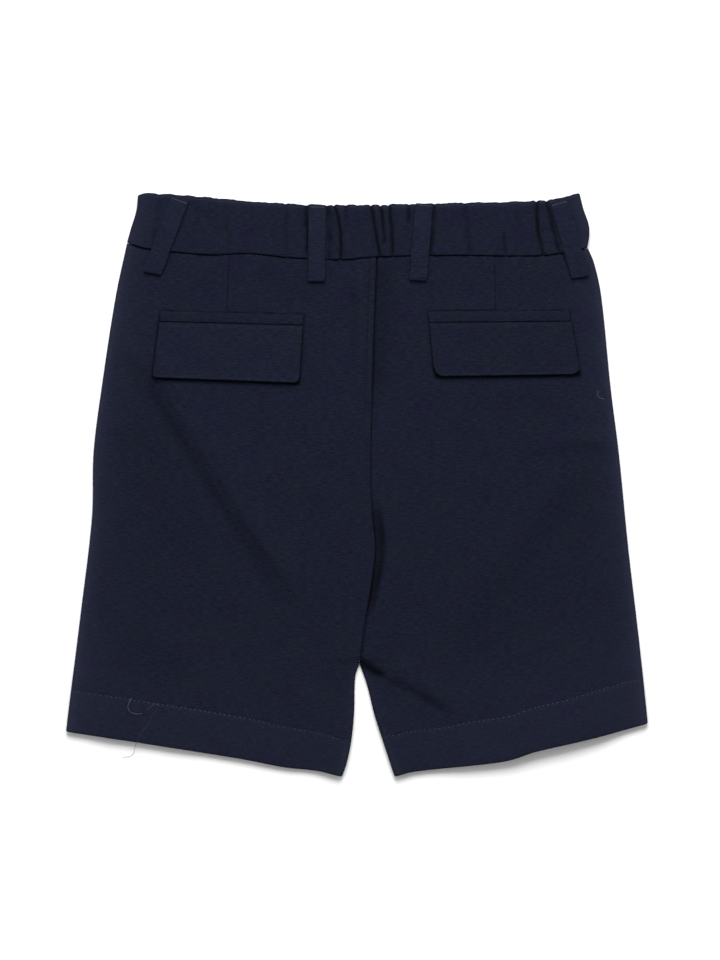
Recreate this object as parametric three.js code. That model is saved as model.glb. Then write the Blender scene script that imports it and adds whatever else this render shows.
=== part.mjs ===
// A child's bermuda shorts in dark wool suiting, laid flat on a table with the back uppermost.
// Units are millimetres. X runs across the garment, +Y points to the waist, +Z points up from the
// table, and the origin is on the table under the middle of the garment.
// The front lies flat on the table. The back lies over it, folds round it at the sides and at the
// inseams, and carries two flapped pockets. An elasticated band with four loops closes the waist.
import * as THREE from "three";

const { clamp, degToRad, lerp, smoothstep } = THREE.MathUtils;

// Cloth thicknesses. A wall stands for the cloth with the seam allowances pressed inside it.
const CLOTH = 1.2;
const HEM_CLOTH = 2; // the hem is turned up once
const BAND_CLOTH = 2.6; // two layers with elastic between them
const FLAP_CLOTH = 1.6;
const WELT_CLOTH = 1;
const LOOP_CLOTH = 1.8; // a strip folded in three
const SEAM = 0.3; // the gap left between two pieces that are sewn together
const ON_TOP = 0.45; // the gap under a piece that lies on another

// Heights of the back's outside above the table
const FOLD_RADIUS = 1.9; // where the back folds round to the front
const THICK_FOLD = 0.7; // added to that radius at the hem and under the band
const CROWN = 5.1; // the middle of a leg
const WAIST_RISE = 0.9; // added to the crown under the band
const HEM_OPENS = 70; // the length over which a leg changes from its crown to its hem's height
const HEM_ROUNDING = 0.4; // how far the hem's very edge is rounded down
const LOWEST = 3.1; // the back never sinks further than this onto the front
const SEAM_DIP = 0.5; // how far the cloth is drawn down along the waist seam
const LEFT_OVER_RIGHT = 0.5; // the left leg stands this much above the right one at the seam
const BAND_FOLD = 3.4; // the band's own fold radius at its two ends
const BAND_CROWN = 7.4;
const BAND_MIDDLE = 160; // y half way up the band

// Lengths along the legs
const LEG_LENGTH = 320; // from the waist seam to the hem, along the centre
const HEM_DEPTH = 26; // from the hem's edge to its stitching
const FRONT_SHORT = 1; // the front's edges lie this far inside the back's at hem and waist
const CROTCH_Y = -110.4;
const INSEAM_TURN = 8; // the length over which the centre seam turns into the inseam's fold
const ROLL = 1.3; // radius at which the cloth turns down into the centre seam
const ALLOWANCE_FOOT = 1.9; // height of the centre seam's allowance above the table

// Outlines as they lie: x is across and y is towards the waist
const SIDE_LEFT = [
  { y: 150, x: -142.5 },
  { y: 118, x: -149.5 },
  { y: 60, x: -158.5 },
  { y: 20, x: -163.5 },
  { y: -20, x: -164.5 },
  { y: -80, x: -171.5 },
  { y: -140, x: -179 },
  { y: -153, x: -180.5 },
];
const SIDE_RIGHT = [
  { y: 147, x: 143 },
  { y: 138, x: 147 },
  { y: 118, x: 151.5 },
  { y: 60, x: 157.5 },
  { y: 20, x: 162.5 },
  { y: -40, x: 168.5 },
  { y: -100, x: 175.5 },
  { y: -148, x: 180.5 },
];
const CENTRE_SEAM = [
  { y: 142, x: 12.2 },
  { y: 96, x: 10.5 },
  { y: 53, x: 9.3 },
  { y: 3, x: 8.7 },
  { y: -22, x: 9.9 },
  { y: -39, x: 11.4 },
  { y: -59, x: 9.3 },
  { y: -78, x: 6.2 },
  { y: CROTCH_Y, x: 1.6 },
];
const INSEAM_LEFT = [
  { y: CROTCH_Y, x: 1.6 },
  { y: -118, x: -0.9 },
  { y: -141, x: -1.7 },
  { y: -158, x: -3.4 },
  { y: -172, x: -6.3 },
  { y: -181, x: -9.5 },
];
const INSEAM_RIGHT = [
  { y: CROTCH_Y, x: 1.6 },
  { y: -124, x: 6.3 },
  { y: -141, x: 10.5 },
  { y: -156, x: 15.3 },
  { y: -181, x: 23.5 },
];
const HEM_LEFT = [
  { x: -180.5, y: -153 },
  { x: -128, y: -161 },
  { x: -69, y: -170.5 },
  { x: -46, y: -175 },
  { x: -24, y: -177.5 },
  { x: -9.5, y: -181 },
];
const HEM_RIGHT = [
  { x: 23.5, y: -181 },
  { x: 35, y: -178 },
  { x: 80, y: -173 },
  { x: 95, y: -170.5 },
  { x: 110, y: -165.5 },
  { x: 147, y: -157 },
  { x: 180.5, y: -148 },
];
const WAIST_SEAM = [
  { x: -142.5, y: 150 },
  { x: -130, y: 146.5 },
  { x: -92, y: 142.7 },
  { x: -67, y: 143.4 },
  { x: -40, y: 140.8 },
  { x: -10, y: 139.6 },
  { x: 12, y: 141.4 },
  { x: 57, y: 142.3 },
  { x: 110, y: 142 },
  { x: 127, y: 143.7 },
  { x: 143, y: 147 },
];
const BAND_TOP = [
  { x: -136, y: 181 },
  { x: -116, y: 180.4 },
  { x: -66, y: 176 },
  { x: -35, y: 174.3 },
  { x: 0, y: 173.9 },
  { x: 58, y: 174.9 },
  { x: 117, y: 176.8 },
  { x: 138.5, y: 181 },
];
const BAND_LEFT = [
  { y: 181, x: -136 },
  { y: 171, x: -136.8 },
  { y: 157, x: -140.7 },
  { y: 150, x: -142.5 },
];
const BAND_RIGHT = [
  { y: 181, x: 138 },
  { y: 171, x: 140.4 },
  { y: 161, x: 143.8 },
  { y: 154, x: 144.2 },
  { y: 147, x: 143 },
];

// The hems stand open unevenly: the height of the outside along each edge
const HEM_HEIGHT_LEFT = [
  { x: -180, height: 5.5 },
  { x: -165, height: 6.6 },
  { x: -134, height: 6 },
  { x: -97, height: 5.1 },
  { x: -60, height: 4.5 },
  { x: -17, height: 4.1 },
];
const HEM_HEIGHT_RIGHT = [
  { x: 24, height: 4.2 },
  { x: 36, height: 4.7 },
  { x: 70, height: 6.8 },
  { x: 95, height: 9 },
  { x: 113, height: 10.1 },
  { x: 130, height: 9.8 },
  { x: 145, height: 8.7 },
  { x: 160, height: 7 },
  { x: 180, height: 5.3 },
];

// Soft creases in the back, each along a bent line. right and left are the half widths on the two
// sides of one who walks along it, and rise is up or down.
const CREASES = [
  { from: [-134, 86], via: [-96, 18], to: [-22, -90], right: 5, left: 12, rise: 2.1 },
  { from: [-139, 77], via: [-101.5, 12], to: [-38, -83], right: 7, left: 5, rise: -1.3 },
  { from: [-139, 46], via: [-126, -8], to: [-98, -62], right: 16, left: 13, rise: -0.9 },
  { from: [158, 36], via: [118, -6], to: [46, -114], right: 16, left: 10, rise: 1.2 },
  { from: [146, 10], via: [104, -44], to: [60, -112], right: 10, left: 14, rise: -0.7 },
  { from: [18, 146], via: [17, 104], to: [12, 46], right: 8, left: 6, rise: -1.3 },
  { from: [26, 134], via: [32, 104], to: [25, 66], right: 6, left: 8, rise: 0.5 },
  { from: [12.4, -14], via: [21, -46], to: [9, -80], right: 7, left: 4, rise: -1.8 },
  { from: [2, -108], via: [12, -114], to: [28, -121], right: 4, left: 4, rise: -1.5 },
  { from: [13, -118.5], via: [36, -129], to: [59, -143], right: 5, left: 5, rise: -0.9 },
  { from: [20, -113], via: [42, -120], to: [66, -138], right: 5, left: 6, rise: 0.6 },
  { from: [-116, 118], via: [-96, 132], to: [-78, 142], right: 6, left: 6, rise: 0.5 },
  { from: [-60, 134], via: [-46, 118], to: [-22, 112], right: 7, left: 7, rise: -0.5 },
  { from: [-92, 30], via: [-70, 8], to: [-34, -8], right: 9, left: 12, rise: 0.6 },
  { from: [60, 52], via: [92, 44], to: [128, 50], right: 8, left: 8, rise: -0.5 },
  { from: [-60, -92], via: [-40, -118], to: [-22, -152], right: 9, left: 9, rise: 0.5 },
];
const CREASE_STEPS = 10;
const CREASE_TAPER = 0.3; // the share of its length over which a crease fades at each end

// Gathers of the band, each a valley from its top edge to the waist seam
const GATHERS = [
  { top: -99, foot: -102, reach: 3, drop: 0.6 },
  { top: -66, foot: -67, reach: 3, drop: 0.5 },
  { top: -44.3, foot: -43.8, reach: 2, drop: 1 },
  { top: -31.7, foot: -30, reach: 2, drop: 1.1 },
  { top: -13.4, foot: -10.5, reach: 2, drop: 1.7 },
  { top: -1, foot: 0.5, reach: 2, drop: 0.6 },
  { top: 8.7, foot: 13.6, reach: 1.9, drop: 1.6 },
  { top: 14.6, foot: 18, reach: 1.6, drop: 1.1 },
  { top: 20.2, foot: 22.4, reach: 1.8, drop: 1.4 },
  { top: 32.2, foot: 32.4, reach: 2.2, drop: 0.8 },
  { top: 47.9, foot: 45.4, reach: 2, drop: 1 },
  { top: 66.8, foot: 70.7, reach: 2.2, drop: 0.9 },
  { top: 91, foot: 92.4, reach: 2.4, drop: 0.5 },
  { top: 111.2, foot: 115.3, reach: 2, drop: 1.4 },
  { top: 117.6, foot: 125.8, reach: 2, drop: 1.2 },
];
const GATHER_SCALLOP = 0.45; // the share of a gather's drop by which it notches the top edge

// Belt loops, from the point where each is tacked under the band's edge to its foot
const LOOPS = [
  { name: "belt_loop_1", top: [-109.2, 177.6], foot: [-127, 131], width: 11.4 },
  { name: "belt_loop_2", top: [-24.4, 173], foot: [-25.1, 126], width: 10.9 },
  { name: "belt_loop_3", top: [41.7, 173.7], foot: [37.8, 126.6], width: 11 },
  { name: "belt_loop_4", top: [125.1, 175], foot: [138.4, 128.6], width: 11 },
];
const LOOP_ARCH = 1.4; // the slack that a loop has for a belt
const LOOP_EDGE = 0.5; // how far a loop's long edges are rounded down

// Pockets: the welt's top, the line where the flap comes out, the flap's foot and the radii of
// the foot's corners
const POCKETS = [
  {
    side: "left",
    welt: { left: { x: -121.8, y: 107.8 }, right: { x: -33, y: 105.6 } },
    mouth: { left: { x: -122.4, y: 101.4 }, right: { x: -33.6, y: 99.2 } },
    foot: { left: { x: -126.6, y: 66.6 }, right: { x: -35.8, y: 63.2 } },
    corners: { left: 2, right: 3 },
  },
  {
    side: "right",
    welt: { left: { x: 44.2, y: 107.6 }, right: { x: 131.6, y: 108 } },
    mouth: { left: { x: 44.8, y: 100.8 }, right: { x: 132.6, y: 101.6 } },
    foot: { left: { x: 48, y: 67.2 }, right: { x: 138.6, y: 68.6 } },
    corners: { left: 5, right: 5 },
  },
];
const FLAP_LIFT = 1.3; // the flap's foot stands this far off the cloth

// How finely the solids are divided: shares of a length or width, each with its own steps
const HEM_SHARE = 1 - HEM_DEPTH / LEG_LENGTH;
const LEG_DOWN = [
  { to: 0.016, steps: 2 },
  { to: 0.75, steps: 21 },
  { to: 0.815, steps: 5 },
  { to: HEM_SHARE - 0.004, steps: 4 },
  { to: HEM_SHARE + 0.004, steps: 1 },
  { to: 0.99, steps: 2 },
  { to: 1, steps: 1 },
];
const BACK_ACROSS = [
  { to: 0.07, steps: 2 },
  { to: 0.93, steps: 15 },
  { to: 1, steps: 2 },
];
const FRONT_ACROSS = [{ to: 1, steps: 18 }];
const FOLD_STEPS = 5;
const BAND_PITCH = 7; // the widest distance between two of the band's columns
const BAND_CLOSEST = 0.8; // and the narrowest
const BAND_PROFILE = [
  { down: 0, sunk: 1 },
  { down: 0.05, sunk: 0.25 },
  { down: 0.3, sunk: 0 },
  { down: 0.65, sunk: 0 },
  { down: 0.94, sunk: 0.15 },
  { down: 1, sunk: 0.8 },
];
const BAND_FRONT_ACROSS = [{ to: 1, steps: 40 }];
const LOOP_DOWN = [{ to: 1, steps: 10 }];
const LOOP_ACROSS = [0, 0.12, 0.88, 1];
const FLAP_ACROSS = [
  { to: 0.05, steps: 4 },
  { to: 0.95, steps: 9 },
  { to: 1, steps: 4 },
];
const FLAP_DOWN = [
  { to: 0.9, steps: 4 },
  { to: 1, steps: 1 },
];

const NAVY = 0x1d202e;
const ROUGHNESS = 0.95;

// The shares that a table of spans gives, from 0 to 1.
function shares(spans) {
  const list = [0];
  for (const { to, steps } of spans) {
    const from = list[list.length - 1];
    for (let i = 1; i <= steps; i++) list.push(lerp(from, to, i / steps));
  }
  return list;
}

// A smooth curve through the rows of a table, from one of its columns to another.
function curve(table, from, to) {
  const rows = [...table].sort((a, b) => a[from] - b[from]);
  const last = rows.length - 1;
  const slope = (i) => {
    const before = rows[Math.max(0, i - 1)];
    const after = rows[Math.min(last, i + 1)];
    return (after[to] - before[to]) / (after[from] - before[from]);
  };
  return (at) => {
    let i = 0;
    while (i < last - 1 && rows[i + 1][from] < at) i++;
    const span = rows[i + 1][from] - rows[i][from];
    const t = clamp((at - rows[i][from]) / span, 0, 1);
    const leaving = t * (1 - t) * (1 - t) * span * slope(i);
    const arriving = t * t * (t - 1) * span * slope(i + 1);
    return lerp(rows[i][to], rows[i + 1][to], t * t * (3 - 2 * t)) + leaving + arriving;
  };
}

// The straight line through two points, as y at x and, for an upright one, as x at y.
const line = (a, b) => (x) => a.y + ((x - a.x) / (b.x - a.x)) * (b.y - a.y);
const upright = (a, b) => (y) => a.x + ((y - a.y) / (b.y - a.y)) * (b.x - a.x);

const centreSeam = curve(CENTRE_SEAM, "y", "x");
const waistSeam = curve(WAIST_SEAM, "x", "y");
const bandTop = curve(BAND_TOP, "x", "y");
const bandLeft = curve(BAND_LEFT, "y", "x");
const bandRight = curve(BAND_RIGHT, "y", "x");

// A leg has its side fold, its hem and its inner edge, which is the centre seam above the crotch
// and the inseam below it. inward is the direction from the side fold to the inner edge.
function leg(inward, sideTable, inseamTable, hemTable, hemHeightTable) {
  const inseam = curve(inseamTable, "y", "x");
  return {
    inward,
    side: curve(sideTable, "y", "x"),
    inner: (y) => (y > CROTCH_Y ? centreSeam(y) : inseam(y)) - (inward * SEAM) / 2,
    hem: curve(hemTable, "x", "y"),
    hemHeight: curve(hemHeightTable, "x", "height"),
  };
}
const LEFT = leg(1, SIDE_LEFT, INSEAM_LEFT, HEM_LEFT, HEM_HEIGHT_LEFT);
const RIGHT = leg(-1, SIDE_RIGHT, INSEAM_RIGHT, HEM_RIGHT, HEM_HEIGHT_RIGHT);

// How much of the inner edge is a fold: 0 on the centre seam and 1 on the inseam.
const foldedAt = (y) => 1 - smoothstep(y, CROTCH_Y, CROTCH_Y + INSEAM_TURN);

// Radius of the fold at a point of a leg's edge.
function foldRadius(which, x, y) {
  const hem = 1 - smoothstep(y - which.hem(x), HEM_DEPTH + 4, 2 * HEM_DEPTH);
  const waist = 1 - smoothstep(waistSeam(x) - y, 0, 30);
  return FOLD_RADIUS + THICK_FOLD * Math.max(hem, waist);
}

// Height that a crease adds at a point, measured from the nearest of the line's short stretches.
function creaseHeight({ from, via, to, right, left, rise }, x, y) {
  const bent = (k, t) => lerp(lerp(from[k], via[k], t), lerp(via[k], to[k], t), t);
  let nearest = Infinity;
  let share = 0;
  let reach = right;
  for (let i = 0; i < CREASE_STEPS; i++) {
    const [start, end] = [i / CREASE_STEPS, (i + 1) / CREASE_STEPS];
    const [dx, dy] = [bent(0, end) - bent(0, start), bent(1, end) - bent(1, start)];
    const [fromX, fromY] = [x - bent(0, start), y - bent(1, start)];
    const along = clamp((fromX * dx + fromY * dy) / (dx * dx + dy * dy), 0, 1);
    const away = Math.hypot(fromX - dx * along, fromY - dy * along);
    if (away < nearest) {
      nearest = away;
      share = lerp(start, end, along);
      reach = dx * fromY > dy * fromX ? left : right;
    }
  }
  const taper = smoothstep(Math.min(share, 1 - share), 0, CREASE_TAPER);
  return rise * taper * Math.exp(-((nearest / reach) ** 2));
}

// Height of the back's outside above the table at a point of a leg.
function backHeight(which, x, y) {
  const fromSide = (x - which.side(y)) * which.inward;
  const fromInner = (which.inner(y) - x) * which.inward;
  const fromHem = y - which.hem(x);
  const fromWaist = waistSeam(x) - y;
  const radius = foldRadius(which, x, y);
  const folded = foldedAt(y);
  const offSide = smoothstep(fromSide, radius, 32);
  const offInner = lerp(1, smoothstep(fromInner, radius, 26), folded);
  const crown = CROWN + WAIST_RISE * (1 - smoothstep(fromWaist, 0, 28));
  const opened = lerp(crown, which.hemHeight(x), 1 - smoothstep(fromHem, 0, HEM_OPENS));
  const flat = lerp(2 * radius, opened, offSide * offInner);
  const clear = smoothstep(fromSide, radius, 14) * lerp(1, smoothstep(fromInner, 0, 10), folded);
  let creased = which === LEFT ? LEFT_OVER_RIGHT * (1 - smoothstep(fromInner, 2, 26)) : 0;
  for (const crease of CREASES) creased += creaseHeight(crease, x, y);
  const dip = SEAM_DIP * (1 - smoothstep(fromWaist, 0, 3));
  const edge = HEM_ROUNDING * (1 - smoothstep(fromHem, 0, 2));
  return Math.max(flat + creased * clear - dip - edge, LOWEST);
}

// Depth of the band's gathers at a point, negative in a valley.
function gatherHeight(x, y) {
  const share = clamp((bandTop(x) - y) / (bandTop(x) - waistSeam(x)), 0, 1);
  let height = 0;
  for (const { top, foot, reach, drop } of GATHERS) {
    const away = Math.abs(x - lerp(top, foot, share)) / reach;
    height += drop * (0.3 * Math.exp(-((away - 2) ** 2)) - Math.exp(-away * away));
  }
  return height;
}

// How far a point of the band is from its folded ends: 0 at an end's fold, 1 well inside.
function offBandEnds(x, y) {
  return smoothstep(Math.min(x - bandLeft(y), bandRight(y) - x), BAND_FOLD, 16);
}

function bandHeight(x, y) {
  return lerp(2 * BAND_FOLD, BAND_CROWN + gatherHeight(x, y), offBandEnds(x, y));
}

// Height of the back or band, whichever is at a point.
function topHeight(x, y) {
  if (y > waistSeam(x)) return bandHeight(x, y);
  return backHeight(x < centreSeam(y) ? LEFT : RIGHT, x, y);
}

// The point where an upright edge, x = upright(y), meets a level edge, y = level(x).
function corner(upright, level, guess) {
  const point = { x: upright(guess), y: guess };
  for (let i = 0; i < 12; i++) {
    point.y = level(point.x);
    point.x = upright(point.y);
  }
  return point;
}

// Lays a piece out between its top, its foot and the two upright edges. The result gives the
// point at a share across, counted from the first upright edge, and a share down from the top.
function layout({ top, foot, first, last }, middleY) {
  const [topFirst, topLast] = [corner(first, top, middleY), corner(last, top, middleY)];
  const [footFirst, footLast] = [corner(first, foot, middleY), corner(last, foot, middleY)];
  return (across, down) => {
    const firstX = first(lerp(topFirst.y, footFirst.y, down));
    const lastX = last(lerp(topLast.y, footLast.y, down));
    const topY = top(lerp(topFirst.x, topLast.x, across));
    const footY = foot(lerp(footFirst.x, footLast.x, across));
    return { x: lerp(firstX, lastX, across), y: lerp(topY, footY, down) };
  };
}

// The closed wall between two equal grids of points, the upper and the lower side of a cloth.
function wall(upper, lower) {
  const rows = upper.length;
  const columns = upper[0].length;
  const positions = [...upper.flat(), ...lower.flat()].flatMap((point) => point.toArray());
  const above = (i, j) => i * columns + j;
  const below = (i, j) => (rows + i) * columns + j;
  const faces = [];
  const turned = upper[0][0].x > upper[0][columns - 1].x;
  const triangle = (a, b, c) => faces.push(...(turned ? [a, c, b] : [a, b, c]));
  const quad = (a, b, c, d) => {
    triangle(a, b, c);
    triangle(a, c, d);
  };
  const right = columns - 1;
  const foot = rows - 1;
  for (let i = 0; i < foot; i++) {
    for (let j = 0; j < right; j++) {
      quad(above(i, j), above(i + 1, j), above(i + 1, j + 1), above(i, j + 1));
      quad(below(i, j), below(i, j + 1), below(i + 1, j + 1), below(i + 1, j));
    }
    quad(above(i, 0), below(i, 0), below(i + 1, 0), above(i + 1, 0));
    quad(above(i, right), above(i + 1, right), below(i + 1, right), below(i, right));
  }
  for (let j = 0; j < right; j++) {
    quad(above(0, j), above(0, j + 1), below(0, j + 1), below(0, j));
    quad(above(foot, j), below(foot, j), below(foot, j + 1), above(foot, j + 1));
  }
  const geometry = new THREE.BufferGeometry();
  geometry.setAttribute("position", new THREE.Float32BufferAttribute(positions, 3));
  geometry.setIndex(faces);
  geometry.computeVertexNormals();
  return geometry;
}

// A wall over a layout, between the heights that two functions of x, y, across and down give.
function slab(plan, across, down, upper, lower) {
  const grid = (heightAt) =>
    down.map((d) =>
      across.map((a) => {
        const { x, y } = plan(a, d);
        return new THREE.Vector3(x, y, heightAt(x, y, a, d));
      }),
    );
  return wall(grid(upper), grid(lower));
}

// A flat piece on the table, as thick as its cloth, with the outline of a layout.
function flatPiece(plan, across, down, thickness) {
  const outline = [
    ...across.map((a) => plan(a, 0)),
    ...down.slice(1).map((d) => plan(1, d)),
    ...across.slice(0, -1).reverse().map((a) => plan(a, 1)),
    ...down.slice(1, -1).reverse().map((d) => plan(0, d)),
  ];
  const shape = new THREE.Shape(outline.map(({ x, y }) => new THREE.Vector2(x, y)));
  return new THREE.ExtrudeGeometry(shape, { depth: thickness, bevelEnabled: false });
}

// The cloth's section round a folded edge, from its highest point down and under. Each point has
// its distance in from the edge, its height, and the outward direction across and up.
function foldSection(height, radius) {
  return shares([{ to: 1, steps: FOLD_STEPS }]).map((share) => {
    const angle = degToRad(90 - 180 * share);
    return {
      inset: radius * (1 - Math.cos(angle)),
      height: (height / 2) * (1 + Math.sin(angle)),
      out: Math.cos(angle),
      up: Math.sin(angle),
    };
  });
}

// The section, of as many points, where the cloth turns down into the centre seam.
function seamSection(height) {
  const rolled = 0.4;
  return shares([{ to: 1, steps: FOLD_STEPS }]).map((share) => {
    const angle = degToRad(90 * Math.max(0, 1 - share / rolled));
    const upright = Math.max(0, share - rolled) / (1 - rolled);
    return {
      inset: ROLL * (1 - Math.cos(angle)),
      height: lerp(height - ROLL * (1 - Math.sin(angle)), ALLOWANCE_FOOT, upright),
      out: Math.cos(angle),
      up: Math.sin(angle),
    };
  });
}

function mixSections(from, to, share) {
  return from.map((point, k) => {
    const mixed = {};
    for (const key of Object.keys(point)) mixed[key] = lerp(point[key], to[k][key], share);
    return mixed;
  });
}

// One row of cloth: the points of its flat stretch, between the sections of its two edges. Each
// point has its place, its slope across and the height that the inside is measured from.
function clothRow(points, firstSection, lastSection, thickness) {
  const edge = (section, end, next) => {
    const inward = Math.sign(next.x - end.x);
    const slant = (next.y - end.y) / (next.x - end.x);
    return section.slice(1).map(({ inset, height, out, up }) => {
      const across = inward * (inset - section[0].inset);
      const [x, y] = [end.x + across, end.y + slant * across];
      return { x, y, z: height, base: height, normal: [-inward * out, 0, up] };
    });
  };
  const row = [
    ...edge(firstSection, points[0], points[1]).reverse(),
    ...points.map((point) => ({ ...point, normal: [-point.slope, 0, 1] })),
    ...edge(lastSection, points.at(-1), points.at(-2)),
  ];
  const inward = ({ normal }) => new THREE.Vector3(...normal).setLength(-thickness);
  return {
    outside: row.map(({ x, y, z }) => new THREE.Vector3(x, y, z)),
    inside: row.map((point) => new THREE.Vector3(point.x, point.y, point.base).add(inward(point))),
  };
}

function clothFromRows(rows) {
  return wall(
    rows.map((row) => row.outside),
    rows.map((row) => row.inside),
  );
}

function backLeg(which) {
  const { inward, side, inner, hem } = which;
  const innerInset = (y) => lerp(ROLL, foldRadius(which, inner(y), y), foldedAt(y));
  const edges = {
    top: (x) => waistSeam(x) - SEAM / 2,
    foot: hem,
    first: (y) => side(y) + inward * foldRadius(which, side(y), y),
    last: (y) => inner(y) - inward * innerInset(y),
  };
  const plan = layout(edges, 0);
  const heightAt = (x, y) => backHeight(which, x, y);
  const rows = shares(LEG_DOWN).map((down) => {
    const points = shares(BACK_ACROSS).map((across) => {
      const { x, y } = plan(across, down);
      const z = heightAt(x, y);
      return { x, y, z, base: z, slope: (heightAt(x + 1, y) - heightAt(x - 1, y)) / 2 };
    });
    const [start, end] = [points[0], points.at(-1)];
    const inseam = foldSection(end.z, foldRadius(which, end.x, end.y));
    return clothRow(
      points,
      foldSection(start.z, foldRadius(which, start.x, start.y)),
      mixSections(seamSection(end.z), inseam, foldedAt(end.y)),
      down > HEM_SHARE ? HEM_CLOTH : CLOTH,
    );
  });
  return clothFromRows(rows);
}

// The front lies inside the back's folds. Its inner edge keeps to the centre seam and steps aside
// for the inseam's fold just above the crotch.
function frontLeg(which) {
  const { inward, side, inner, hem } = which;
  const aside = (y) => 1 - smoothstep(y, CROTCH_Y + INSEAM_TURN, CROTCH_Y + 2 * INSEAM_TURN);
  const edges = {
    top: (x) => waistSeam(x) - SEAM / 2,
    foot: (x) => hem(x) + FRONT_SHORT,
    first: (y) => side(y) + inward * (foldRadius(which, side(y), y) + SEAM),
    last: (y) => inner(y) - inward * aside(y) * (foldRadius(which, inner(y), y) + SEAM),
  };
  return flatPiece(layout(edges, 0), shares(FRONT_ACROSS), shares(LEG_DOWN), CLOTH);
}

// The band's columns follow its gathers, with others between them where those lie far apart.
function bandColumns(leftEnd, rightEnd) {
  const columns = [leftEnd];
  const add = (column) => {
    const before = columns.at(-1);
    const gap = Math.max(column.top - before.top, column.foot - before.foot);
    const steps = Math.ceil(gap / BAND_PITCH);
    for (let i = 1; i <= steps; i++) {
      const share = i / steps;
      const between = (key) => lerp(before[key], column[key], share);
      columns.push({ top: between("top"), foot: between("foot") });
    }
  };
  const clear = (column, other) =>
    Math.min(column.top - other.top, column.foot - other.foot) >= BAND_CLOSEST;
  for (const { top, foot, reach } of GATHERS) {
    for (const side of [-2, -1, 0, 1, 2]) {
      const column = { top: top + side * reach, foot: foot + side * reach };
      if (clear(column, columns.at(-1)) && clear(rightEnd, column)) add(column);
    }
  }
  add(rightEnd);
  return columns;
}

function bandBack() {
  const scallops = (x) =>
    GATHERS.reduce((sum, { top, reach, drop }) => {
      return sum + GATHER_SCALLOP * drop * Math.exp(-(((x - top) / reach) ** 2));
    }, 0);
  const edges = {
    top: (x) => bandTop(x) - scallops(x),
    foot: (x) => waistSeam(x) + SEAM / 2,
    first: (y) => bandLeft(y) + BAND_FOLD,
    last: (y) => bandRight(y) - BAND_FOLD,
  };
  const plan = layout(edges, BAND_MIDDLE);
  const [leftEnd, rightEnd] = [0, 1].map((end) => ({ top: plan(end, 0).x, foot: plan(end, 1).x }));
  const share = (column, key) => (column[key] - leftEnd[key]) / (rightEnd[key] - leftEnd[key]);
  const columns = bandColumns(leftEnd, rightEnd);
  const rows = BAND_PROFILE.map(({ down, sunk }) => {
    const points = columns.map((column) => {
      const { x, y } = plan(lerp(share(column, "top"), share(column, "foot"), down), down);
      const base = lerp(2 * BAND_FOLD, BAND_CROWN, offBandEnds(x, y));
      return { x, y, z: bandHeight(x, y) - sunk, base, slope: 0 };
    });
    const fold = (point) => foldSection(point.z, BAND_FOLD);
    return clothRow(points, fold(points[0]), fold(points.at(-1)), BAND_CLOTH);
  });
  return clothFromRows(rows);
}

function bandFront() {
  const edges = {
    top: (x) => bandTop(x) - FRONT_SHORT,
    foot: (x) => waistSeam(x) + SEAM / 2,
    first: (y) => bandLeft(y) + BAND_FOLD + SEAM,
    last: (y) => bandRight(y) - BAND_FOLD - SEAM,
  };
  const down = BAND_PROFILE.map((row) => row.down);
  return flatPiece(layout(edges, BAND_MIDDLE), shares(BAND_FRONT_ACROSS), down, BAND_CLOTH);
}

// A strip that bridges the waist seam, tacked to the band at its top and to the back at its foot.
function beltLoop({ top, foot, width }) {
  const [dx, dy] = [foot[0] - top[0], foot[1] - top[1]];
  const half = width / 2 / Math.hypot(dx, dy);
  const plan = (across, down) => {
    const aside = half * (2 * across - 1);
    return { x: top[0] + dx * down - dy * aside, y: top[1] + dy * down + dx * aside };
  };
  const [start, end] = [topHeight(...top), topHeight(...foot)];
  const under = (x, y, across, down) =>
    lerp(start, end, down) + ON_TOP + LOOP_ARCH * Math.sin(Math.PI * down);
  const rounding = (across) => (across > 0 && across < 1 ? 0 : LOOP_EDGE);
  const over = (x, y, across, down) => under(x, y, across, down) + LOOP_CLOTH - rounding(across);
  return slab(plan, LOOP_ACROSS, shares(LOOP_DOWN), over, under);
}

// The welt is the narrow strip over a pocket's mouth.
function pocketWelt(which, { welt, mouth }) {
  const edges = {
    top: line(welt.left, welt.right),
    foot: (x) => line(mouth.left, mouth.right)(x) + SEAM / 2,
    first: upright(welt.left, mouth.left),
    last: upright(welt.right, mouth.right),
  };
  const under = (x, y) => backHeight(which, x, y) + ON_TOP;
  const over = (x, y) => under(x, y) + WELT_CLOTH;
  return slab(layout(edges, welt.left.y), shares(FLAP_ACROSS), [0, 1], over, under);
}

// The flap hangs from the mouth over the pocket, with its foot's corners rounded.
function pocketFlap(which, { mouth, foot, corners }) {
  const rounded = (radius, fromEdge) => {
    const short = clamp(radius - fromEdge, 0, radius);
    return radius - Math.sqrt(radius * radius - short * short);
  };
  const edges = {
    top: (x) => line(mouth.left, mouth.right)(x) - SEAM / 2,
    foot: (x) =>
      line(foot.left, foot.right)(x) +
      rounded(corners.left, x - foot.left.x) +
      rounded(corners.right, foot.right.x - x),
    first: upright(mouth.left, foot.left),
    last: upright(mouth.right, foot.right),
  };
  const under = (x, y, across, down) =>
    backHeight(which, x, y) + ON_TOP + FLAP_LIFT * smoothstep(down, 0, 1);
  const over = (x, y, across, down) => under(x, y, across, down) + FLAP_CLOTH;
  const plan = layout(edges, mouth.left.y);
  return slab(plan, shares(FLAP_ACROSS), shares(FLAP_DOWN), over, under);
}

const shorts = new THREE.Group();
function add(name, geometry) {
  const material = new THREE.MeshStandardMaterial({ color: NAVY, roughness: ROUGHNESS });
  const mesh = new THREE.Mesh(geometry, material);
  mesh.name = name;
  shorts.add(mesh);
}

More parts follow.
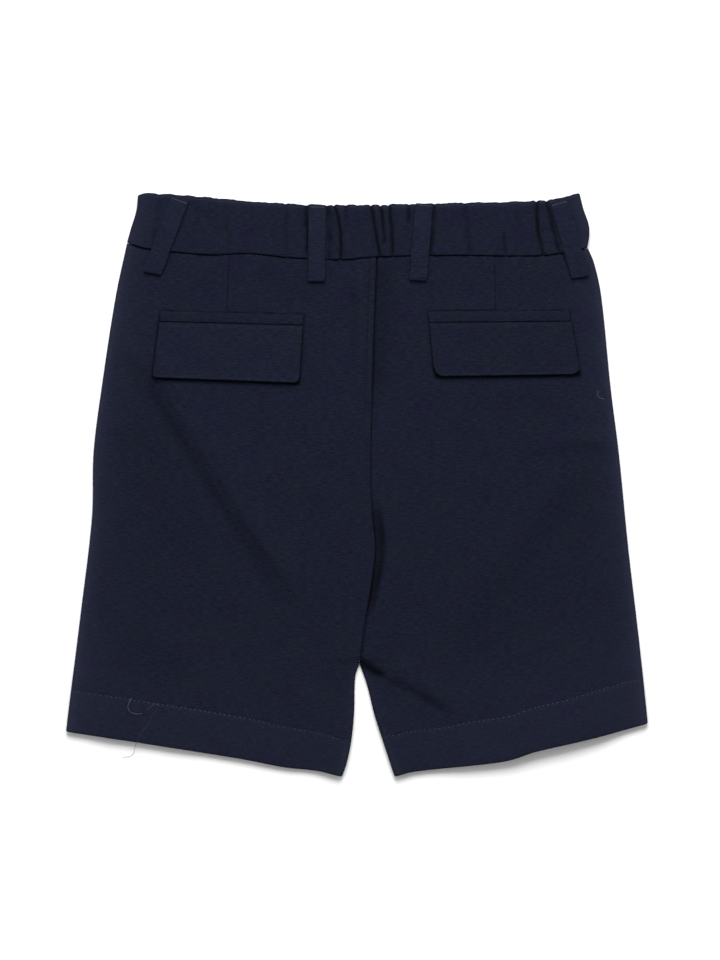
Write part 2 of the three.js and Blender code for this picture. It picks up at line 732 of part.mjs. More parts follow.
add("back_left", backLeg(LEFT));
add("back_right", backLeg(RIGHT));
add("front_left", frontLeg(LEFT));
add("front_right", frontLeg(RIGHT));
add("waistband_back", bandBack());
add("waistband_front", bandFront());
for (const loop of LOOPS) add(loop.name, beltLoop(loop));
for (const pocket of POCKETS) {
  const which = pocket.side === "left" ? LEFT : RIGHT;
  add(`pocket_welt_${pocket.side}`, pocketWelt(which, pocket));
  add(`pocket_flap_${pocket.side}`, pocketFlap(which, pocket));
}

export default shorts;
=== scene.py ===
# A child's bermuda shorts in dark wool suiting, laid flat with the back uppermost.
# The tables are in millimetres, in the frame of the solids: X runs across the garment, +Y points
# to the waist and +Z up from the table. Each piece of cloth is a thin closed wall, worked out from
# its edges and from the height of its outside.
import math

import bpy
import numpy as np
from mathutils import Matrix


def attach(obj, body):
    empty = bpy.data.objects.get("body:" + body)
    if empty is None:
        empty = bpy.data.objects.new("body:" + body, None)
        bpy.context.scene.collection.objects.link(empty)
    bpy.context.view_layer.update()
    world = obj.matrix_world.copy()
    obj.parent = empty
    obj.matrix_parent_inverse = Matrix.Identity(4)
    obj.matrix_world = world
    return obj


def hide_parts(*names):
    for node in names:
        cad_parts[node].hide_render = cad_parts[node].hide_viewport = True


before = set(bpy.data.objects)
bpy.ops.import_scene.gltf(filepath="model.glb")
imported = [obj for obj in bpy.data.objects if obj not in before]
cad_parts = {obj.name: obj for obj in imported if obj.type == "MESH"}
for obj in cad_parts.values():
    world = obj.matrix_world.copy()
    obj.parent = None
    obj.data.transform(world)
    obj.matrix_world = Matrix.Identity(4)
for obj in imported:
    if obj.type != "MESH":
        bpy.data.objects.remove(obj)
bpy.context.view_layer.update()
MM = 0.001

# The photograph: its height in pixels, its scale, and the point of the garment at its middle
PHOTO_HEIGHT = 960
MM_PER_PIXEL = 0.62
VIEW_MIDDLE = (1.9, 3.1)
CAMERA_HEIGHT = 2600
SENSOR = 36

# Cloth thicknesses
CLOTH = 1.0
HEM_CLOTH = 1.9
BAND_CLOTH = 2.4
LOOP_CLOTH = 1.6
SEAM = 0.3
CENTRE_GAP = 0.12

# Heights of the back's outside above the table
FOLD_RADIUS = 1.9
THICK_FOLD = 0.7
CROWN = 5.1
WAIST_RISE = 0.9
LOWEST = 3.0
LEFT_OVER_RIGHT = 0.5
BAND_FOLD = 3.4
BAND_CROWN = 7.4
BAND_MIDDLE = 160

# How far in the cloth reaches its full height from a side fold, an inseam's fold and the band
SIDE_SLOPE = 32
INSEAM_SLOPE = 26
WAIST_SLOPE = 28

# Lengths along the legs
CROTCH_Y = -110.4
INSEAM_TURN = 3
ALLOWANCE_FOOT = 1.9
HEM_OPENS = 70

# How far the cloth's own roll stands in from a hem, the centre seam and the band's top
HEM_ROLL = 0.9
SEAM_ROLL = 1.3
BAND_ROLL = 1.1

# How far the fronts' seams lie beside the back's, to the right and towards the waist, and how
# far the fronts' hems and the front band's top lie in from the back's edges
FRONT_ASIDE = 1.5
FRONT_ABOVE = 1.2
FRONT_HEM_IN = 1.6
FRONT_TOP_IN = 1.8

# Edges as they lie, as (y, x) for upright ones and (x, y) for level ones
SIDE_LEFT = [
    (150, -142.5), (118, -149.5), (60, -158.5), (20, -163.5), (-20, -164.5), (-80, -171.5),
    (-140, -179), (-153, -180.5),
]
SIDE_RIGHT = [
    (147, 143), (138, 147), (118, 151.5), (60, 157.5), (20, 162.5), (-40, 168.5), (-100, 175.5),
    (-148, 180.5),
]
CENTRE_SEAM = [
    (142, 12.2), (96, 10.5), (53, 9.3), (3, 8.7), (-22, 9.9), (-39, 11.4), (-59, 9.3), (-78, 6.2),
    (CROTCH_Y, 1.6),
]
INSEAM_LEFT = [
    (CROTCH_Y, 1.6), (-118, -0.9), (-141, -1.7), (-158, -3.4), (-172, -6.3), (-181, -9.5),
]
INSEAM_RIGHT = [(CROTCH_Y, 1.6), (-124, 6.3), (-141, 10.5), (-156, 15.3), (-181, 23.5)]
HEM_LEFT = [(-180.5, -153), (-128, -161), (-69, -170.5), (-46, -175), (-24, -177.5), (-9.5, -181)]
HEM_RIGHT = [
    (23.5, -181), (35, -178), (80, -173), (95, -170.5), (110, -165.5), (147, -157), (180.5, -148),
]
WAIST_SEAM = [
    (-142.5, 150), (-130, 146.5), (-92, 142.7), (-67, 143.4), (-40, 140.8), (-10, 139.6),
    (12, 141.4), (57, 142.3), (110, 142), (127, 143.7), (143, 147),
]
BAND_TOP = [
    (-136, 181), (-116, 180.4), (-66, 176), (-35, 174.3), (0, 173.9), (58, 174.9), (117, 176.8),
    (138.5, 181),
]
BAND_LEFT = [(181, -136), (171, -136.8), (157, -140.7), (150, -142.5)]
BAND_RIGHT = [(181, 138), (171, 140.4), (161, 143.8), (154, 144.2), (147, 143)]

# The hems stand open unevenly: (x, height of the outside at the edge)
HEM_HEIGHT_LEFT = [(-180, 5.5), (-165, 6.6), (-134, 6), (-97, 5.1), (-60, 4.5), (-17, 4.1)]
HEM_HEIGHT_RIGHT = [
    (24, 4.2), (36, 4.7), (70, 6.8), (95, 9), (113, 10.1), (130, 9.8), (145, 8.7), (160, 7),
    (180, 5.3),
]
# The hems' blind stitching: (x, distance above the edge)
HEM_DEPTH_LEFT = [(-172, 26), (-62, 25.6), (-35, 24.4), (-7, 22.5)]
HEM_DEPTH_RIGHT = [
    (23, 25.5), (53, 25), (72, 27), (110, 27.3), (131, 27.5), (151, 29), (175, 29.3),
]

# Creases of the back along bent lines: from, via, to, the half widths on the right and on the left
# of one who walks along the line, the rise, and how dark the painted shade in its depth is
CREASES = [
    ((-136, 92), (-96, 18), (-22, -90), 3.6, 12, 2.3, 0),
    ((-142, 84), (-101.5, 12), (-38, -83), 4.6, 2.6, -1.2, 0.3),
    ((-146, 92), (-139, 74), (-128, 56), 5, 5, 0.8, 0),
    ((-139, 46), (-126, -8), (-98, -62), 16, 13, -0.9, 0.06),
    ((158, 36), (118, -6), (46, -114), 16, 10, 1.2, 0),
    ((146, 10), (104, -44), (60, -112), 10, 14, -0.7, 0.05),
    ((166, 30), (138, 32), (96, 20), 4, 5, 0.5, 0),
    ((160, 21), (134, 24), (92, 12), 4, 4, -0.4, 0.08),
    ((18, 146), (17, 104), (12, 46), 8, 5, -1.3, 0.3),
    ((26, 134), (32, 104), (25, 66), 6, 8, 0.5, 0),
    ((-2, 124), (-1.4, 100), (-3, 74), 3, 3, -0.7, 0.12),
    ((11.4, -6), (20.8, -44), (5.6, -88), 6.6, 1.6, -2.1, 0.5),
    ((15.4, -22), (20.2, -42), (11.6, -66), 2.6, 1.4, -0.6, 0.3),
    ((-14, -96), (4, -113), (20, -119.4), 2.3, 1.9, -2.4, 1.4),
    ((15, -120), (38, -129), (62, -145), 2, 2.4, -1.3, 0.3),
    ((20, -113), (42, -120), (66, -138), 4, 6, 0.7, 0),
    ((86, -112), (106, -102), (130, -92), 3, 4, 0.45, 0),
    ((-116, 118), (-96, 132), (-78, 142), 6, 6, 0.5, 0),
    ((-60, 134), (-46, 118), (-22, 112), 7, 7, -0.5, 0.05),
    ((-92, 30), (-70, 8), (-34, -8), 9, 12, 0.6, 0),
    ((60, 52), (92, 44), (128, 50), 8, 8, -0.5, 0.04),
    ((-60, -92), (-40, -118), (-22, -152), 9, 9, 0.5, 0),
    ((-150, -92), (-128, -110), (-96, -120), 12, 9, -0.5, 0.03),
]
CREASE_STEPS = 24
CREASE_TAPER = 0.22

# Gathers of the band: x at the top edge, half way down and at the seam, shares where each starts
# and ends, half width and depth
GATHERS = [
    (-122, -124, -127, 0, 1, 3, 0.6),
    (-99, -100, -102, 0, 1, 3, 0.6),
    (-81, -80.6, -80.6, 0.2, 0.9, 1.8, 0.6),
    (-66, -66.5, -67, 0, 1, 2.6, 0.5),
    (-54, -53.4, -54, 0, 0.7, 1.8, 0.4),
    (-44.3, -43.9, -43.8, 0, 1, 1.3, 0.8),
    (-31.7, -30.6, -30, 0, 0.9, 1.4, 1.5),
    (-18, -17.2, -17.2, 0, 1, 2.2, 1.1),
    (-14.4, -10.3, -10.5, 0, 1, 0.9, 2.1),
    (-6.8, -6, -5.6, 0, 0.45, 1.1, 1.1),
    (0, 0.3, 0.5, 0, 0.6, 1.5, 0.6),
    (8.7, 11.2, 14.3, 0, 1, 1, 2),
    (14.6, 16.5, 17.6, 0, 0.75, 0.9, 1.4),
    (19.5, 21.6, 21.9, 0, 1, 1, 1.8),
    (32.2, 32.2, 32.4, 0, 0.35, 1.2, 1.3),
    (47.9, 46.8, 45.4, 0, 1, 1.4, 1.2),
    (55, 55.6, 56, 0.1, 0.8, 2, 0.4),
    (66.8, 68.2, 70.7, 0, 1, 1.7, 0.9),
    (80, 79.6, 80, 0, 0.6, 2.2, 0.4),
    (91, 91.2, 92.4, 0.65, 1, 1, 1.1),
    (101, 100.4, 100, 0, 1, 2.4, 0.5),
    (111.2, 112.2, 115.3, 0, 1, 1.1, 1.9),
    (117.6, 121.2, 125.8, 0, 1, 1.2, 1.5),
]
SCALLOP = 0.42

# Deeper, wider spots of the waist seam's ditch and of its painted shade: x and half width
DITCH_SPOTS = [(-86.5, 4.5), (13.4, 2.2), (116, 1.8)]

# Darts, as the x of each at the waist seam and at its point over the pocket
DARTS = [(-79.2, -80.8), (85.2, 86)]
DART_FOOT = 107.5
DART_REACH = 0.45
DART_DEPTH = 0.35

# Belt loops: the top, the foot, the width, and how far below the top the tack is
LOOPS = {
    "belt_loop_1": ((-108.9, 178.3), (-127, 131), 11.4, 2.6),
    "belt_loop_2": ((-24.4, 173.5), (-25.1, 126), 10.9, 1.5),
    "belt_loop_3": ((41.7, 174.2), (37.8, 126.6), 11, 1.2),
    "belt_loop_4": ((125, 175.3), (138.4, 128.6), 11, 1.2),
}
LOOP_ARCH = 1.6
# How a slanting loop's foot is cut: 0 is square to the loop and 1 is level
FOOT_LEVEL = 0.5

# Pockets: the ends of the welt's top, of the mouth and of the flap's foot, and the corners' radii
POCKETS = {
    "left": {
        "welt": ((-121.8, 107.8), (-33, 105.6)),
        "mouth": ((-122.4, 101.4), (-33.6, 99.2)),
        "foot": ((-126.6, 66.6), (-35.8, 63.2)),
        "radii": (1.8, 2.7),
        "stands_off": 1.6,
    },
    "right": {
        "welt": ((44.2, 107.6), (131.6, 108)),
        "mouth": ((44.8, 100.8), (132.6, 101.6)),
        "foot": ((48, 67.2), (138.6, 68.6)),
        "radii": (5, 5),
        "stands_off": 0.9,
    },
}
FLAP_CLOTH = 1.5
WELT_CLOTH = 0.9
FLAP_WIDTH = 88
FLAP_DEPTH = 34

# Air left under the pieces that are sewn on
WELT_AIR = 0.25
FLAP_AIR = 0.35
LOOP_AIR = 0.45

# The length over which the weave repeats, in metres
WEAVE_PITCH = 0.00045
# The x where each hem's stitches show most
BRIGHT_STITCHES = {"left": -100, "right": 107}
# How far in from the leg's edges the hem's stitching ends
STITCHES_IN = 6
# Stitches in the waist seam's ditch: from x, to x, distance below the seam, length, gap and seed
DITCH_STITCHES = [(-112, -34, 0.9, 0.9, 1.7, 23), (16, 132, 0.7, 0.6, 1.4, 24)]
# Radii of the threads
HEM_THREAD = 0.21
DITCH_THREAD = 0.12
TACK_THREAD = 0.16

# Loose ends of the sewing thread, as points across the cloth
LOOSE_THREADS = {
    "thread_curl": [
        (-139.6, -132), (-141.5, -135.5), (-141.8, -138.4), (-140, -140.9), (-135.7, -142),
        (-133.2, -141.4),
    ],
    "thread_bend": [(-130.8, -139.8), (-127.2, -137), (-125.1, -135.9), (-122.2, -136.7)],
    "thread_tail": [
        (-123.6, -139.1), (-127.2, -143.4), (-129.3, -148), (-134.3, -154.8), (-137.1, -160.8),
        (-139.6, -167.6), (-145.7, -169.3),
    ],
    "thread_hook": [(149.4, 58.4), (149.8, 54.6), (153.4, 53.2)],
}
THREAD = 0.34
# The finer ones, with their thickness and how near they are to the cloth's own tone
THIN_THREADS = {"thread_bend": (0.24, 0.3), "thread_tail": (0.2, 0.6)}

# Colours
VIOLET_NAVY = (0.0070, 0.0081, 0.0191)
SLATE_NAVY = (0.0066, 0.0087, 0.0168)
# Painted shade for the seams, the creases' depths and under the pocket flaps
PAINTED_SHADE_NAVY = (0.0012, 0.0014, 0.0030)
FLECK_NAVY = (0.0140, 0.0160, 0.0300)
# Painted highlight of the raised nap near the edges; the hems are lightened towards it too
PAINTED_HIGHLIGHT_NAVY = (0.040, 0.043, 0.076)
THREAD_NAVY = (0.050, 0.055, 0.082)
FLOOR_WHITE = (0.9, 0.9, 0.9)

# How far the painted highlight on the raised nap reaches in from an edge, closely and faintly
NAP_NEAR = 1.7
NAP_WIDE = 10

# Lights: azimuth, where 0 is the waist's side, elevation, size and power
SOFTBOXES = {
    "softbox_waist": (0, 51, 1250, 62),
    "softbox_left": (-75, 50, 900, 3.5),
    "softbox_right": (75, 50, 900, 3),
}
LIGHT_DISTANCE = 2200
ROOM_LIGHT = 0.42


def mix(start, end, share):
    return start + (end - start) * share


def smooth(value, low, high):
    share = np.clip((value - low) / (high - low), 0, 1)
    return share * share * (3 - 2 * share)


def fade(value, low, high):
    return 1 - smooth(value, low, high)


def bell(value, reach=1):
    return np.exp(-((value / reach) ** 2))


def curve(rows):
    """A smooth line through the rows of a table, level with its end rows beyond them."""
    at, value = np.array(sorted(rows), float).T
    before = np.maximum(np.arange(len(at)) - 1, 0)
    after = np.minimum(np.arange(len(at)) + 1, len(at) - 1)
    slope = (value[after] - value[before]) / (at[after] - at[before])

    def read(x):
        x = np.clip(x, at[0], at[-1])
        i = np.clip(np.searchsorted(at, x, side="right") - 1, 0, len(at) - 2)
        span = at[i + 1] - at[i]
        t = (x - at[i]) / span
        leaving = t * (1 - t) ** 2 * span * slope[i]
        arriving = t * t * (t - 1) * span * slope[i + 1]
        return mix(value[i], value[i + 1], t * t * (3 - 2 * t)) + leaving + arriving

    return read


def ripple(x, y, swell, seed):
    """A soft unevenness from about -1 to 1, its swells about that far apart."""
    draw = np.random.default_rng(seed)
    total = 0
    for _ in range(8):
        heading = draw.uniform(0, 2 * math.pi)
        length = swell * draw.uniform(0.65, 1.6)
        start = draw.uniform(0, 2 * math.pi)
        along = x * math.cos(heading) + y * math.sin(heading)
        total = total + np.sin(2 * math.pi * along / length + start)
    return total / 4


def steps(spans):
    """The shares from 0 to 1 that a table of (share reached, number of steps) gives."""
    found = [0.0]
    for reached, count in spans:
        start = found[-1]
        found += [mix(start, reached, (i + 1) / count) for i in range(count)]
    return np.array(found)


centre_seam = curve(CENTRE_SEAM)
waist_seam = curve(WAIST_SEAM)
band_top = curve(BAND_TOP)
band_left = curve(BAND_LEFT)
band_right = curve(BAND_RIGHT)


class Leg:
    """One leg's edges. inward is the direction across from the side fold to the inner edge."""

    def __init__(self, name, inward, side, inseam, hem, hem_height, hem_depth, dart):
        self.name = name
        self.inward = inward
        self.side = curve(side)
        self.inseam = curve(inseam)
        self.hem = curve(hem)
        self.hem_height = curve(hem_height)
        self.hem_depth = curve(hem_depth)
        self.dart = dart

    def inner(self, y):
        """The centre seam above the crotch and the inseam's fold below it."""
        edge = np.where(y > CROTCH_Y, centre_seam(y), self.inseam(y))
        return edge - self.inward * CENTRE_GAP / 2

    def from_side(self, x, y):
        return (x - self.side(y)) * self.inward

    def from_inner(self, x, y):
        return (self.inner(y) - x) * self.inward

    def fold(self, x, y):
        """Radius of the fold at a point of the leg's edge."""
        hem = fade(y - self.hem(x), 30, 52)
        waist = fade(waist_seam(x) - y, 0, 30)
        return FOLD_RADIUS + THICK_FOLD * np.maximum(hem, waist)


LEFT = Leg(
    "left", 1, SIDE_LEFT, INSEAM_LEFT, HEM_LEFT, HEM_HEIGHT_LEFT, HEM_DEPTH_LEFT, DARTS[0],
)
RIGHT = Leg(
    "right", -1, SIDE_RIGHT, INSEAM_RIGHT, HEM_RIGHT, HEM_HEIGHT_RIGHT, HEM_DEPTH_RIGHT, DARTS[1],
)
LEGS = (LEFT, RIGHT)


def folded_at(y):
    """How much of the inner edge is a fold: 0 on the centre seam and 1 on the inseam."""
    return fade(y, CROTCH_Y, CROTCH_Y + INSEAM_TURN)


def crease_profile(crease, x, y):
    """How much of a crease's full rise a point has, from 0 to 1."""
    start, via, end, right, left, rise, _ = crease
    t = np.linspace(0, 1, CREASE_STEPS + 1)
    bent = [mix(mix(start[k], via[k], t), mix(via[k], end[k], t), t) for k in (0, 1)]
    x, y = np.broadcast_arrays(x, y)
    margin = 3 * max(left, right)
    near = (x > bent[0].min() - margin) & (x < bent[0].max() + margin)
    near &= (y > bent[1].min() - margin) & (y < bent[1].max() + margin)
    profile = np.zeros(np.shape(x))
    x, y = x[near], y[near]
    nearest = np.full(np.shape(x), 1e9)
    share = np.zeros(np.shape(x))
    reach = np.full(np.shape(x), float(right))
    for i in range(CREASE_STEPS):
        dx, dy = bent[0][i + 1] - bent[0][i], bent[1][i + 1] - bent[1][i]
        from_x, from_y = x - bent[0][i], y - bent[1][i]
        along = np.clip((from_x * dx + from_y * dy) / (dx * dx + dy * dy), 0, 1)
        away = np.hypot(from_x - dx * along, from_y - dy * along)
        on_left = smooth(dx * from_y - dy * from_x, -0.5 * right, 0.5 * left)
        closer = away < nearest
        share = np.where(closer, (i + along) / CREASE_STEPS, share)
        reach = np.where(closer, mix(right, left, on_left), reach)
        nearest = np.minimum(nearest, away)
    taper = smooth(np.minimum(share, 1 - share), 0, CREASE_TAPER)
    uneven = 1 + 0.22 * ripple(share * 40, 0, 17, round(10 * abs(rise) + right))
    profile[near] = taper * uneven * bell(nearest, reach)
    return profile


def creases_of(leg):
    """The creases that reach a leg. Each ends at the centre seam."""
    return [crease for crease in CREASES if (crease[2][0] > 0) != (leg is LEFT)]


def crease_shade(leg, x, y):
    """How dark the painted shade in the depths of a leg's creases is."""
    return sum(row[6] * crease_profile(row, x, y) for row in creases_of(leg) if row[6] > 0)


def plain_height(leg, x, y):
    """Height of the back's outside with its creases, before its sewing."""
    from_side, from_inner = leg.from_side(x, y), leg.from_inner(x, y)
    from_waist = waist_seam(x) - y
    radius = leg.fold(x, y)
    folded = folded_at(y)
    off_inner = mix(1, smooth(from_inner, radius, INSEAM_SLOPE), folded)
    off_edges = smooth(from_side, radius, SIDE_SLOPE) * off_inner
    crown = CROWN + WAIST_RISE * fade(from_waist, 0, WAIST_SLOPE)
    opened = mix(crown, leg.hem_height(x), fade(y - leg.hem(x), 0, HEM_OPENS))
    flat = mix(2 * radius, opened, off_edges)
    clear = smooth(from_side, radius, 14) * mix(1, smooth(from_inner, 0, 3), folded)
    raised = LEFT_OVER_RIGHT * fade(from_inner, 2, INSEAM_SLOPE) if leg is LEFT else 0
    creased = sum(crease[5] * crease_profile(crease, x, y) for crease in creases_of(leg))
    uneven = 0.3 * ripple(x, y, 46, 3) + 0.11 * ripple(x, y, 17, 4)
    return np.maximum(flat + (creased + raised + uneven) * clear, LOWEST)


def dart_groove(leg, x, y):
    """How deep in the dart's seam a point is, from 0 to 1."""
    at_waist, at_foot = leg.dart
    down = (waist_seam(x) - y) / (waist_seam(x) - DART_FOOT)
    away = (x - mix(at_waist, at_foot, down)) / DART_REACH
    return bell(away) * fade(down, 0.97, 1.05)


def sewn_height(leg, x, y):
    """What the sewing adds to the back's height: the pressed seams, the dart and the hem's turn."""
    from_inner, from_hem = leg.from_inner(x, y), y - leg.hem(x)
    from_waist = waist_seam(x) - y
    depth = leg.hem_depth(x)
    puckers = 0.16 * ripple(x, y * 0.12, 7, 5) * fade(from_waist, 1, 16)
    dip = -0.5 * fade(from_waist, 0, 1.5 + 1.5 * ditch_spots(x))
    seam_wave = 0.1 * ripple(x * 0.1, y, 9, 6) * fade(from_inner, 1, 9)
    turned = 0.28 * fade(from_hem, depth - 1.4, depth + 1)
    drawn = -0.22 * bell(from_hem - depth, 1.1) * (1 + 0.5 * ripple(x, y, 6, 7))
    dart = -DART_DEPTH * dart_groove(leg, x, y)
    height = puckers + dip + seam_wave + turned + drawn + dart
    if leg is LEFT:
        ridge = fade(from_inner, 3, 3.9) * smooth(y, 20, 70)
        height = height + 0.32 * ridge
    return height


def back_height(leg, x, y):
    return plain_height(leg, x, y) + sewn_height(leg, x, y)


def ditch_spots(x):
    return sum(bell(x - at, reach) for at, reach in DITCH_SPOTS)


def ditch_shade(x):
    """How dark the painted shade in the waist seam's ditch is along its length."""
    return 0.5 + 0.4 * ripple(x, 0, 9, 24)


# Painted highlight falling off from an edge, closely and faintly
def highlight_near_edge(from_edge, near, wide):
    return near * np.exp(-from_edge / NAP_NEAR) + wide * np.exp(-from_edge / NAP_WIDE)


def flap_shadow(leg, x, y):
    """Painted shadow of the pocket: 1 where the pocket hides the cloth, falling to 0 just outside
    its sides and foot.
    """
    pocket = POCKETS[leg.name]
    welt, foot = pocket["welt"], pocket["foot"]
    from_side = np.minimum(x - upright(welt[0], foot[0])(y), upright(welt[1], foot[1])(y) - x)
    inside = smooth(from_side, -pocket["stands_off"], 0.1) * smooth(y - line(*foot)(x), -2.1, -0.7)
    return inside * fade(y - line(*welt)(x), 0.05, 0.75)


def edge_light(leg, x, y):
    """Painted highlight where the cloth's raised nap catches the light near the leg's edges, and a
    lighter tone over the hem's turn-up and the lower leg.
    """
    from_inner = np.maximum(leg.from_inner(x, y), 0)
    side = highlight_near_edge(np.maximum(leg.from_side(x, y), 0), 0.36, 0.14)
    inner = 0.22 * np.exp(-from_inner / 1.8) * folded_at(y) * (1 + smooth(-y, 140, 176))
    from_hem = y - leg.hem(x)
    turned = 0.034 * fade(from_hem, leg.hem_depth(x) - 1, leg.hem_depth(x) + 1)
    return np.maximum(side, inner) + turned + 0.032 * fade(from_hem, 20, 110)


def centre_shade(leg, from_inner, y):
    """How dark the painted shade of the centre seam is beside its two edges, deepest near the waist
    and the crotch.
    """
    deep = np.maximum(smooth(y, 24, 56), fade(y, -62, -30))
    width = mix(0.75, 1.9 if leg is RIGHT else 1.0, deep)
    seam = mix(0.5, 0.95, deep) * fade(from_inner, 0.2, width)
    if leg is RIGHT:
        return seam
    # A faint line of painted shade along the pressed allowance's edge
    pressed = 0.3 * bell(from_inner - 4.1, 0.55) * smooth(y, 20, 60)
    return np.maximum(seam, pressed)


def back_shade(leg, x, y):
    """How dark the painted shade of a seam, a crease or the pocket is, from 0 to 1, and below 0
    where the painted highlight is.
    """
    width = 0.35 + 1.1 * ditch_spots(x)
    waist = ditch_shade(x) * fade(waist_seam(x) - y, 0.05, width)
    inner = centre_shade(leg, leg.from_inner(x, y), y) * (1 - folded_at(y))
    seams = np.maximum(np.maximum(waist, inner), 0.45 * dart_groove(leg, x, y))
    dark = np.maximum(seams, 0.9 * flap_shadow(leg, x, y)) + crease_shade(leg, x, y)
    return np.clip(dark, 0, 1) - edge_light(leg, x, y)


def gather_depth(x, y):
    """Height that the band's gathers add, negative in a valley."""
    share = np.clip((band_top(x) - y) / (band_top(x) - waist_seam(x)), 0, 1)
    height = 0
    for row, (top, middle, foot, start, end, reach, drop) in enumerate(GATHERS):
        pulled = 2 * middle - (top + foot) / 2
        run = mix(mix(top, pulled, share), mix(pulled, foot, share), share)
        away = np.abs(x - run - 0.3 * ripple(0, y, 10, 40 + row)) / reach
        begun = smooth(share, start - 0.15, start + 0.02)
        kept = begun * fade(share, end - 0.1, end + 0.15)
        kept = kept * (1 + 0.25 * ripple(0, y, 13, 70 + row))
        height = height + drop * kept * (0.34 * bell(away - 2) - bell(away))
    return height


def off_band_ends(x, y):
    return smooth(np.minimum(x - band_left(y), band_right(y) - x), BAND_FOLD, 16)


def band_plain(x, y):
    return mix(2 * BAND_FOLD, BAND_CROWN, off_band_ends(x, y))


def band_height(x, y):
    uneven = 0.22 * ripple(x, y * 0.25, 13, 8) + 0.08 * ripple(x, y * 0.3, 4.5, 9)
    return band_plain(x, y) + (gather_depth(x, y) + uneven) * off_band_ends(x, y)


def top_height(x, y):
    """Height of the back or the band, whichever is at a point."""
    on_leg = np.where(x < centre_seam(y), back_height(LEFT, x, y), back_height(RIGHT, x, y))
    return np.where(y > waist_seam(x), band_height(x, y), on_leg)


def meet(upright, level, y):
    """The point where an upright edge, x = upright(y), meets a level one, y = level(x)."""
    x = upright(y)
    for _ in range(12):
        y = level(x)
        x = upright(y)
    return x, y


def lay_out(edges, across, down, middle=0.0):
    """The x and y of a grid between a top, a foot and two upright edges, its rows running down."""
    top, foot, first, last = edges
    across, down = np.meshgrid(across, down)
    top_first, top_last = meet(first, top, middle), meet(last, top, middle)
    foot_first, foot_last = meet(first, foot, middle), meet(last, foot, middle)
    first_x = first(mix(top_first[1], foot_first[1], down))
    last_x = last(mix(top_last[1], foot_last[1], down))
    top_y = top(mix(top_first[0], top_last[0], across))
    foot_y = foot(mix(foot_first[0], foot_last[0], across))
    return mix(first_x, last_x, across), mix(top_y, foot_y, down)


FOLD_STEPS = 12


def fold_section(height, radius):
    """Cloth round a fold, from its top down and under: inset from the edge, and height."""
    angle = np.linspace(math.pi / 2, -math.pi / 2, FOLD_STEPS + 1)
    inset = radius[:, None] * (1 - np.cos(angle))
    return inset, height[:, None] / 2 * (1 + np.sin(angle))


def seam_section(height, roll):
    """Cloth that turns down into the centre seam, in as many points."""
    share = np.linspace(0, 1, FOLD_STEPS + 1)
    angle = math.pi / 2 * np.maximum(0, 1 - share / 0.5)
    upright = np.maximum(0, share - 0.5) / 0.5
    inset = np.broadcast_to(roll * (1 - np.cos(angle)), (len(height), len(share)))
    turned = height[:, None] - roll * (1 - np.sin(angle))
    return inset, mix(turned, ALLOWANCE_FOOT, upright)


def mix_sections(start, end, share):
    return tuple(mix(a, b, share[:, None]) for a, b in zip(start, end))


def with_edges(x, y, z, first, last):
    """Joins the sections of the first and last edge to a grid's flat stretch."""
    def edge(section, end, near):
        inset, height = section
        step = x[:, near] - x[:, end]
        slant = (y[:, near] - y[:, end]) / step
        across = np.sign(step)[:, None] * (inset - inset[:, :1])
        placed = (x[:, end, None] + across, y[:, end, None] + slant[:, None] * across, height)
        return np.stack(placed, axis=-1)[:, 1:]

    flat = np.stack((x, y, z), axis=-1)
    return np.concatenate((edge(first, 0, 1)[:, ::-1], flat, edge(last, -1, -2)), axis=1)


def over_folds(values):
    """Carries the values of a grid's flat stretch on over the sections of its two edges."""
    return np.pad(values, ((0, 0), (FOLD_STEPS, FOLD_STEPS)), mode="edge")


def unit(vectors):
    length = np.linalg.norm(vectors, axis=-1, keepdims=True)
    return vectors / np.maximum(length, 1e-9)


def normals(points):
    """Outward directions of a grid of points whose rows run down."""
    facing = np.cross(np.gradient(points, axis=0), np.gradient(points, axis=1))
    return unit(facing) * np.sign(points[0, -1, 0] - points[0, 0, 0])


def inside_of(points, thickness):
    return points - normals(points) * thickness


RIM_STEPS = 6


